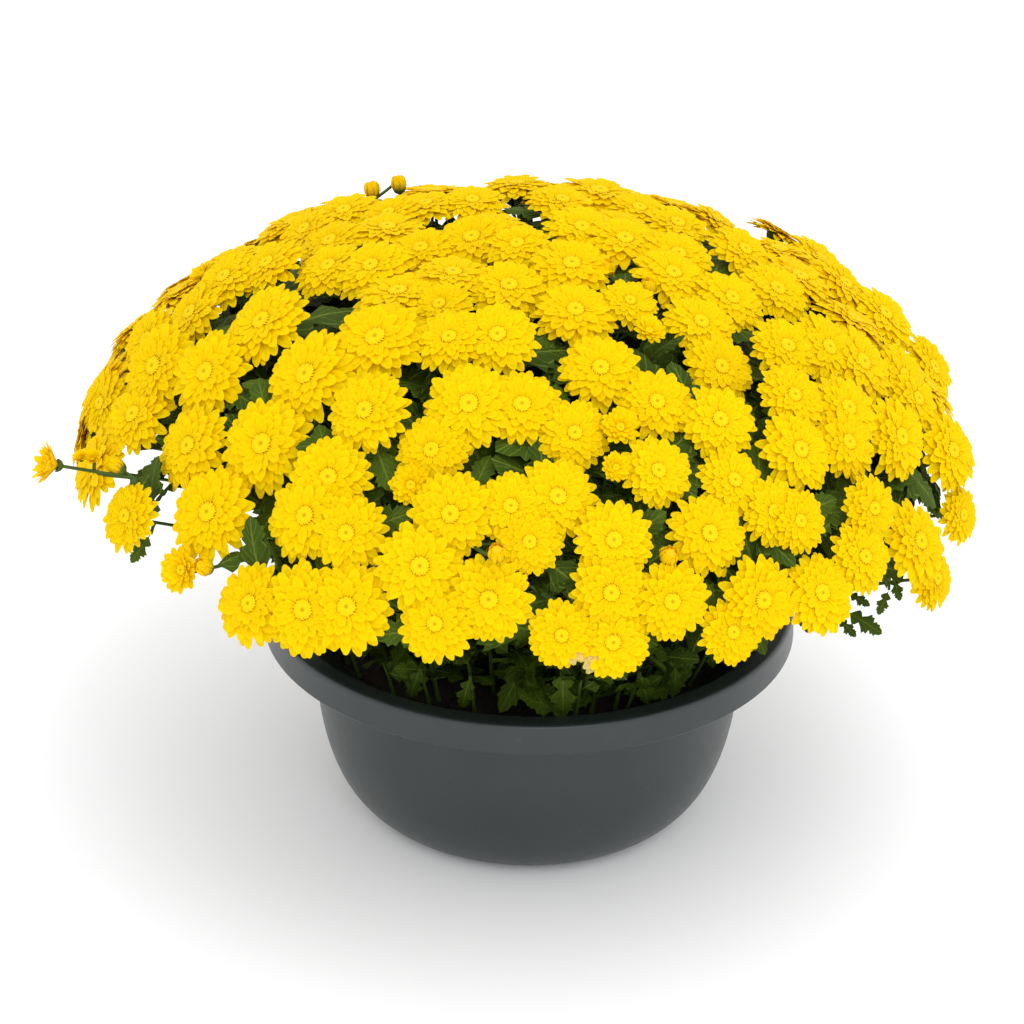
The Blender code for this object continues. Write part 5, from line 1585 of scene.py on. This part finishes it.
ADDED_DEEP = (0.7, 0.045)  # deeper in they are longer, by this share at this depth
ADDED_SPACING = 0.0052
ADDED_PLACE = (0.2, 0.8)  # where it starts, as a share of that spacing
ADDED_DEPTH = 0.004  # least depth of an added leaf under the dome
ADDED_RISE = 0.004  # and over the mix
OUTER_RADIUS = 0.150  # further out than this, leaves hang no lower than the blooms on that side
OUTER_DROP = (0.003, 0.024)  # how far under the middle of those blooms, at the left and at the right
OUTER_DROP_OVER = 0.2  # from the middle to the right, the drop grows over this much
SIDE_WIDTH = math.radians(12)
YOUNG_SHOOTS = 44
YOUNG_SHOOT_ASTRAY = 0.8  # along the ring on which they stand, as a share of their spacing
YOUNG_SHOOT_FOOT = (0.072, 0.106)  # from the bowl's axis
YOUNG_SHOOT_HEIGHT = (0.016, 0.042)
YOUNG_SHOOT_LEAN = 0.35
YOUNG_SHOOT_BOW = 0.002  # how far its middle rises
YOUNG_SHOOT_RADIUS = 0.0010
YOUNG_SHOOT_TAPER = (1.3, 1.0, 0.7)
YOUNG_SHOOT_LEAVES = 9
YOUNG_SHOOT_LEAF = (0.020, 0.034)
YOUNG_LEAF_SLOPE = (-0.3, 0.5)  # how steeply its lowest leaves rise
YOUNG_LEAF_STEEPER = 0.4  # and how much more its highest ones
YOUNG_SHOOT_SIDES = 6
ROOT_DEPTH = 0.002  # how deep in the mix the young shoots' and the low leaves' stalks start
BLOOM_SHARE = 0.97  # the size at which a bloom counts as crossed
# Leaves that hang low, as their feet and tips were read off the picture: at the sides, on a thin stalk
# from the nearest limb, and at the front, on one from the mix inside the lip
SIDE_LEAVES_SEEN = (
    ((800, 608), (808, 633)), ((846, 611), (882, 634)), ((838, 618), (856, 637)), ((848, 593), (870, 606)),
    ((889, 590), (878, 615)), ((893, 575), (900, 601)), ((151, 534), (131, 563)),
)
FRONT_LEAVES_SEEN = (
    ((563, 668), (563, 717)), ((640, 672), (648, 704)), ((676, 666), (674, 695)), ((710, 648), (713, 668)),
    ((470, 676), (462, 708)), ((420, 668), (410, 698)),
)
OVER_LIP = 0.012  # leaves whose tips hang over the lip, less than this above it, are drawn in to this length
OVER_LIP_LENGTH = 0.62
SIDE_LEAF_UPTURN = 0.3  # how far those at the sides turn up from the camera
SIDE_STALK_BOW = 0.001
FRONT_LEAF_RADIUS = 0.113  # how far those at the front hang from the bowl's axis
FRONT_ROOT = 0.9  # a share of the leaf's distance from that axis
FRONT_STALK_BEND = (0.6, 0.003)  # the share of the stalk at which it bends, and how far to the front
FRONT_STALK_TAPER = (1.3, 1.0, 1.0)
SEEN_STALK_RADIUS = 0.0008


def one_leaf():
    """The flat pattern of a leaf, as (across -1 to 1, along 0 to 1): two faces wide on top, one beneath."""
    rows = len(LEAF_ROWS) - 1
    beneath = flat_grid(1, rows)
    bpy.ops.object.mode_set(mode="EDIT")
    bpy.ops.mesh.select_all(action="SELECT")
    bpy.ops.mesh.flip_normals()
    bpy.ops.object.mode_set(mode="OBJECT")
    made = flat_grid(2, rows)
    beneath.select_set(True)
    bpy.ops.object.join()
    bpy.ops.object.mode_set(mode="EDIT")
    bpy.ops.mesh.select_all(action="SELECT")
    bpy.ops.mesh.remove_doubles(threshold=0.001)
    for end in (0.0, 1.0):
        bpy.ops.mesh.select_all(action="DESELECT")
        bpy.ops.object.mode_set(mode="OBJECT")
        for point in made.data.vertices:
            point.select = abs(point.co.y - end) < 0.01
        bpy.ops.object.mode_set(mode="EDIT")
        bpy.ops.mesh.merge(type="CENTER")
    bpy.ops.object.mode_set(mode="OBJECT")
    pattern = shape_of(made)
    bpy.data.objects.remove(made, do_unlink=True)
    return pattern


blade, blade_faces = one_leaf()
blade_uv = np.stack([(blade[:, 0] + 1) / 2, blade[:, 1]], axis=1)[np.concatenate(blade_faces)]
leaf_draw = np.random.default_rng(SEED + 2)


def leaf_points(base, tip, face):
    """The points of one lobed, arched and slightly waved leaf."""
    length = (tip - base).length
    ahead = (tip - base).normalized()
    aside = ahead.cross(face).normalized()
    up = aside.cross(ahead)
    rows = np.linspace(0, 1, len(LEAF_ROWS))
    edge_along, edge_across, rib = (np.interp(blade[:, 1], rows, column) for column in zip(*LEAF_ROWS))
    share = np.abs(blade[:, 0])
    along = rib * (1 - share) + edge_along * share
    across = blade[:, 0] * edge_across
    wave = leaf_draw.uniform(0, math.tau) + LEAF_WAVE_TURNS[0] * along + LEAF_WAVE_TURNS[1] * np.sign(across)
    rise = LEAF_ARCH * 4 * along * (1 - along) - LEAF_DROOP * across**2
    rise += (LEAF_WAVE * np.sin(wave) - LEAF_RIDGE) * np.abs(across)
    parts = np.outer(along, ahead) + np.outer(across, aside) + np.outer(rise, up)
    return np.array(base) + length * parts


bloom_trees = [search_tree(*bloom.solid(BLOOM_SHARE)) for bloom in blooms + shoot]
bowl_tree = search_tree(*shape_of(bowl))


def crosses_bloom(points, faces):
    """True if a shape crosses a bloom."""
    shape = search_tree(points, faces)
    return any(shape.overlap(bloom) for bloom in bloom_trees)


def lowest_bloom(point):
    """How low the blooms reach on this point's side of the plant."""
    side = math.atan2(point.y, point.x)
    near = [bloom.place.z for bloom in blooms
            if abs(math.remainder(math.atan2(bloom.place.y, bloom.place.x) - side, math.tau)) < SIDE_WIDTH]
    return min(near, default=0.0)


def under_cover(points):
    """True if a leaf stays under the blooms, over the mix and inside the lip."""
    for point in points:
        out = math.hypot(point.x, point.y)
        if dome_height(point) > -ADDED_DEPTH or point.z < SOIL_HEIGHT + ADDED_RISE:
            return False
        if point.z < LIP_HEIGHT + ADDED_RISE and out > LIP_INNER - ADDED_RISE:
            return False
        to_right = max(0.0, min(1.0, point.x / OUTER_DROP_OVER))
        drop = OUTER_DROP[0] + (OUTER_DROP[1] - OUTER_DROP[0]) * to_right
        if out > OUTER_RADIUS and point.z < lowest_bloom(point) - drop:
            return False
    return True


def add_leaf(stem, place, tip):
    """One more leaf of a stem, if it finds room."""
    shaken = ADDED_ASTRAY * Vector(leaf_draw.normal(size=3))
    face = Vector((0, 0, 1)) + ADDED_UPTURN * dome_normal(place) + shaken
    points, faces = leaf(place, tip, face)
    if under_cover(points[1:]) and not crosses_bloom(points, faces):
        growth.leaves[stem].append((place, tip, face))


for stem in range(STEM_COUNT):
    count = 0
    for start, end in growth.limbs[stem]:
        along = (end - start).normalized()
        spots = max(1, int((end - start).length / ADDED_SPACING))
        for spot in range(spots):
            count += 1
            place = start.lerp(end, (spot + leaf_draw.uniform(*ADDED_PLACE)) / spots)
            turned_out = Matrix.Rotation(LEAF_TURN * count, 3, along) @ along.orthogonal().normalized()
            droop = leaf_draw.uniform(*ADDED_DROOP)
            ahead = (turned_out + ADDED_AHEAD * along - Vector((0, 0, droop))).normalized()
            longer = 1 + ADDED_DEEP[0] * max(0.0, min(1.0, -dome_height(place) / ADDED_DEEP[1]))
            add_leaf(stem, place, place + longer * leaf_draw.uniform(*ADDED_LENGTH) * ahead)


def nearest_stem(point):
    """The main stem that comes out of the mix nearest to a point."""
    return min(range(STEM_COUNT), key=lambda stem: (growth.limbs[stem][0][0] - point).length)


def thin_stalk(path, radius, taper=(1.0, 1.0, 1.0)):
    """A round stalk through three points."""
    return tube(path, [share * radius for share in taper], YOUNG_SHOOT_SIDES)


young_shoots = [[] for _ in range(STEM_COUNT)]
for number in range(YOUNG_SHOOTS):
    turn = math.tau * (number + leaf_draw.uniform(0, YOUNG_SHOOT_ASTRAY)) / YOUNG_SHOOTS
    out = polar(1.0, turn)
    foot = leaf_draw.uniform(*YOUNG_SHOOT_FOOT) * out + Vector((0, 0, SOIL_HEIGHT - ROOT_DEPTH))
    rise = leaf_draw.uniform(*YOUNG_SHOOT_HEIGHT)
    top = foot + rise * (Vector((0, 0, 1)) + YOUNG_SHOOT_LEAN * out)
    stem = nearest_stem(foot)
    middle = foot.lerp(top, 0.5) + Vector((0, 0, YOUNG_SHOOT_BOW))
    shape = thin_stalk([foot, middle, top], YOUNG_SHOOT_RADIUS, YOUNG_SHOOT_TAPER)
    if crosses_bloom(*shape):
        continue
    young_shoots[stem].append(shape)
    for index in range(YOUNG_SHOOT_LEAVES):
        share = (index + 1) / YOUNG_SHOOT_LEAVES
        turned = Matrix.Rotation(LEAF_TURN * index, 3, "Z") @ out
        slope = leaf_draw.uniform(*YOUNG_LEAF_SLOPE) + YOUNG_LEAF_STEEPER * share
        ahead = (turned + Vector((0, 0, slope))).normalized()
        place = foot.lerp(top, share)
        add_leaf(stem, place, place + leaf_draw.uniform(*YOUNG_SHOOT_LEAF) * ahead)

for foot_seen, tip_seen in SIDE_LEAVES_SEEN:
    ray = sight(*foot_seen)
    found = [(place, stem) for stem in range(STEM_COUNT) for place in growth.places(stem)
             if place.z > LIP_HEIGHT + OVER_LIP]
    place, stem = min(found, key=lambda spot: (spot[0] - EYE).cross(ray).length)
    reach = (place - EYE).dot(ray)
    foot, tip = EYE + reach * ray, EYE + reach * sight(*tip_seen)
    growth.leaves[stem].append((foot, tip, (EYE - foot).normalized() + Vector((0, 0, SIDE_LEAF_UPTURN))))
    middle = (place + foot) / 2 + Vector((0, 0, SIDE_STALK_BOW))
    young_shoots[stem].append(thin_stalk([place, middle, foot], SEEN_STALK_RADIUS))
for foot_seen, tip_seen in FRONT_LEAVES_SEEN:
    foot, tip = before_axis(*foot_seen, FRONT_LEAF_RADIUS), before_axis(*tip_seen, FRONT_LEAF_RADIUS)
    root = Vector((FRONT_ROOT * foot.x, FRONT_ROOT * foot.y, SOIL_HEIGHT - ROOT_DEPTH))
    stem = nearest_stem(root)
    growth.leaves[stem].append((foot, tip, (EYE - foot).normalized()))
    bend = root.lerp(foot, FRONT_STALK_BEND[0]) - FRONT_STALK_BEND[1] * LOOK
    young_shoots[stem].append(thin_stalk([root, bend, foot], SEEN_STALK_RADIUS, FRONT_STALK_TAPER))

# Leaf: matt and soft with fine down, dark green, deeper in some leaves than in others, mottled, and paler
# along the sunken midrib and the side veins, which run forward to the lobes 4 mm apart.
leaf_green, tree, shader = new_material("lobed_green_leaf", 0.62, 1.4, 0.12)
place = add_node(tree, "UVMap", {}, uv_map="UVMap")
axes = add_node(tree, "SeparateXYZ", {"Vector": place})
where = add_node(tree, "TexCoord", {}).outputs["Object"]
tone = add_node(tree, "Attribute", {}, attribute_name="tone").outputs["Fac"]
patches = add_node(tree, "TexNoise", {"Vector": where, "Scale": 220.0, "Detail": 3.0})
from_rib = add_node(tree, "Math", {0: axes.outputs["X"], 1: 0.5}, operation="SUBTRACT")
aside = add_node(tree, "Math", {0: from_rib}, operation="ABSOLUTE")
rib = add_node(tree, "MapRange", {"Value": aside, "From Max": 0.05, "To Min": 1.0, "To Max": 0.0})
slant = add_node(tree, "Math", {0: aside, 1: -0.35, 2: axes.outputs["Y"]}, operation="MULTIPLY_ADD")
beat = add_node(tree, "Math", {0: slant, 1: 9 * math.tau}, operation="MULTIPLY")
wave = add_node(tree, "Math", {0: beat}, operation="COSINE")
side = add_node(tree, "MapRange", {"Value": wave, "From Min": 0.82, "To Max": 0.6})
veins = add_node(tree, "Math", {0: rib, 1: side}, operation="MAXIMUM")
deep = add_node(tree, "Mix", {0: tone, 6: colour("#2A3C0A"), 7: colour("#4E6616")}, data_type="RGBA")
mottled = add_node(tree, "Mix", {0: patches, 6: deep, 7: colour("#33420A")}, data_type="RGBA")
veined = add_node(tree, "Mix", {0: veins, 6: mottled, 7: colour("#647628")}, data_type="RGBA")
bump = add_node(tree, "Bump", {"Height": veins, "Strength": 0.5, "Distance": 0.0004})
feed(shader, {"Base Color": veined, "Normal": bump})

for stem, leaves in enumerate(growth.leaves):
    mesh = Mesh()
    for base, tip, face in leaves:
        if math.hypot(tip.x, tip.y) > LIP_INNER and tip.z < LIP_HEIGHT + OVER_LIP:
            tip = base.lerp(tip, OVER_LIP_LENGTH)
        points = leaf_points(base, tip, face)
        if not search_tree(points, blade_faces).overlap(bowl_tree):
            mesh.add(points, blade_faces, 0, leaf_draw.uniform(0, 1), blade_uv)
    for points, faces in young_shoots[stem]:
        mesh.add(np.array(points), faces, 1, PLAIN_TONE)
    mesh.piece(f"leaves_{stem + 1:02d}", (leaf_green, stem_green), None, "green_foliage", 60)


# The floor and the light
# A plain white studio floor under two wide soft lamps, one over the plant and one before it, with white
# light from all round.
FLOOR_SIZE = 14.0
bpy.ops.mesh.primitive_plane_add(size=FLOOR_SIZE, location=(0.0, 0.0, 0.0))
floor = bpy.context.object
floor.name = "floor"
paper, tree, shader = new_material("white_paper", 0.9)
shader.inputs["Base Color"].default_value = colour("#FCFCFC")
floor.data.materials.append(paper)

# (name, place, height of the point that it faces, size, power, colour)
LAMPS = (
    ("key_light", (0.45, -0.8, 2.0), 0.2, 1.2, 9.0, (1.0, 1.0, 1.0)),
    ("fill_light", (0.3, -1.7, 1.2), 0.15, 0.8, 6.0, (0.84, 0.92, 1.0)),
)
SKY_STRENGTH = 1.2
for name, place, height, size, power, tone in LAMPS:
    bpy.ops.object.light_add(type="AREA", location=place)
    lamp = bpy.context.object
    lamp.name = name
    lamp.data.size = size
    lamp.data.energy = power
    lamp.data.color = tone
    lamp.rotation_euler = (Vector((0.0, 0.0, height)) - lamp.location).to_track_quat("-Z", "Y").to_euler()

world = bpy.data.worlds.new("studio")
world.use_nodes = True
world.node_tree.nodes["Background"].inputs["Color"].default_value = (1.0, 1.0, 1.0, 1.0)
world.node_tree.nodes["Background"].inputs["Strength"].default_value = SKY_STRENGTH
bpy.context.scene.world = world
bpy.context.scene.view_settings.view_transform = "Standard"
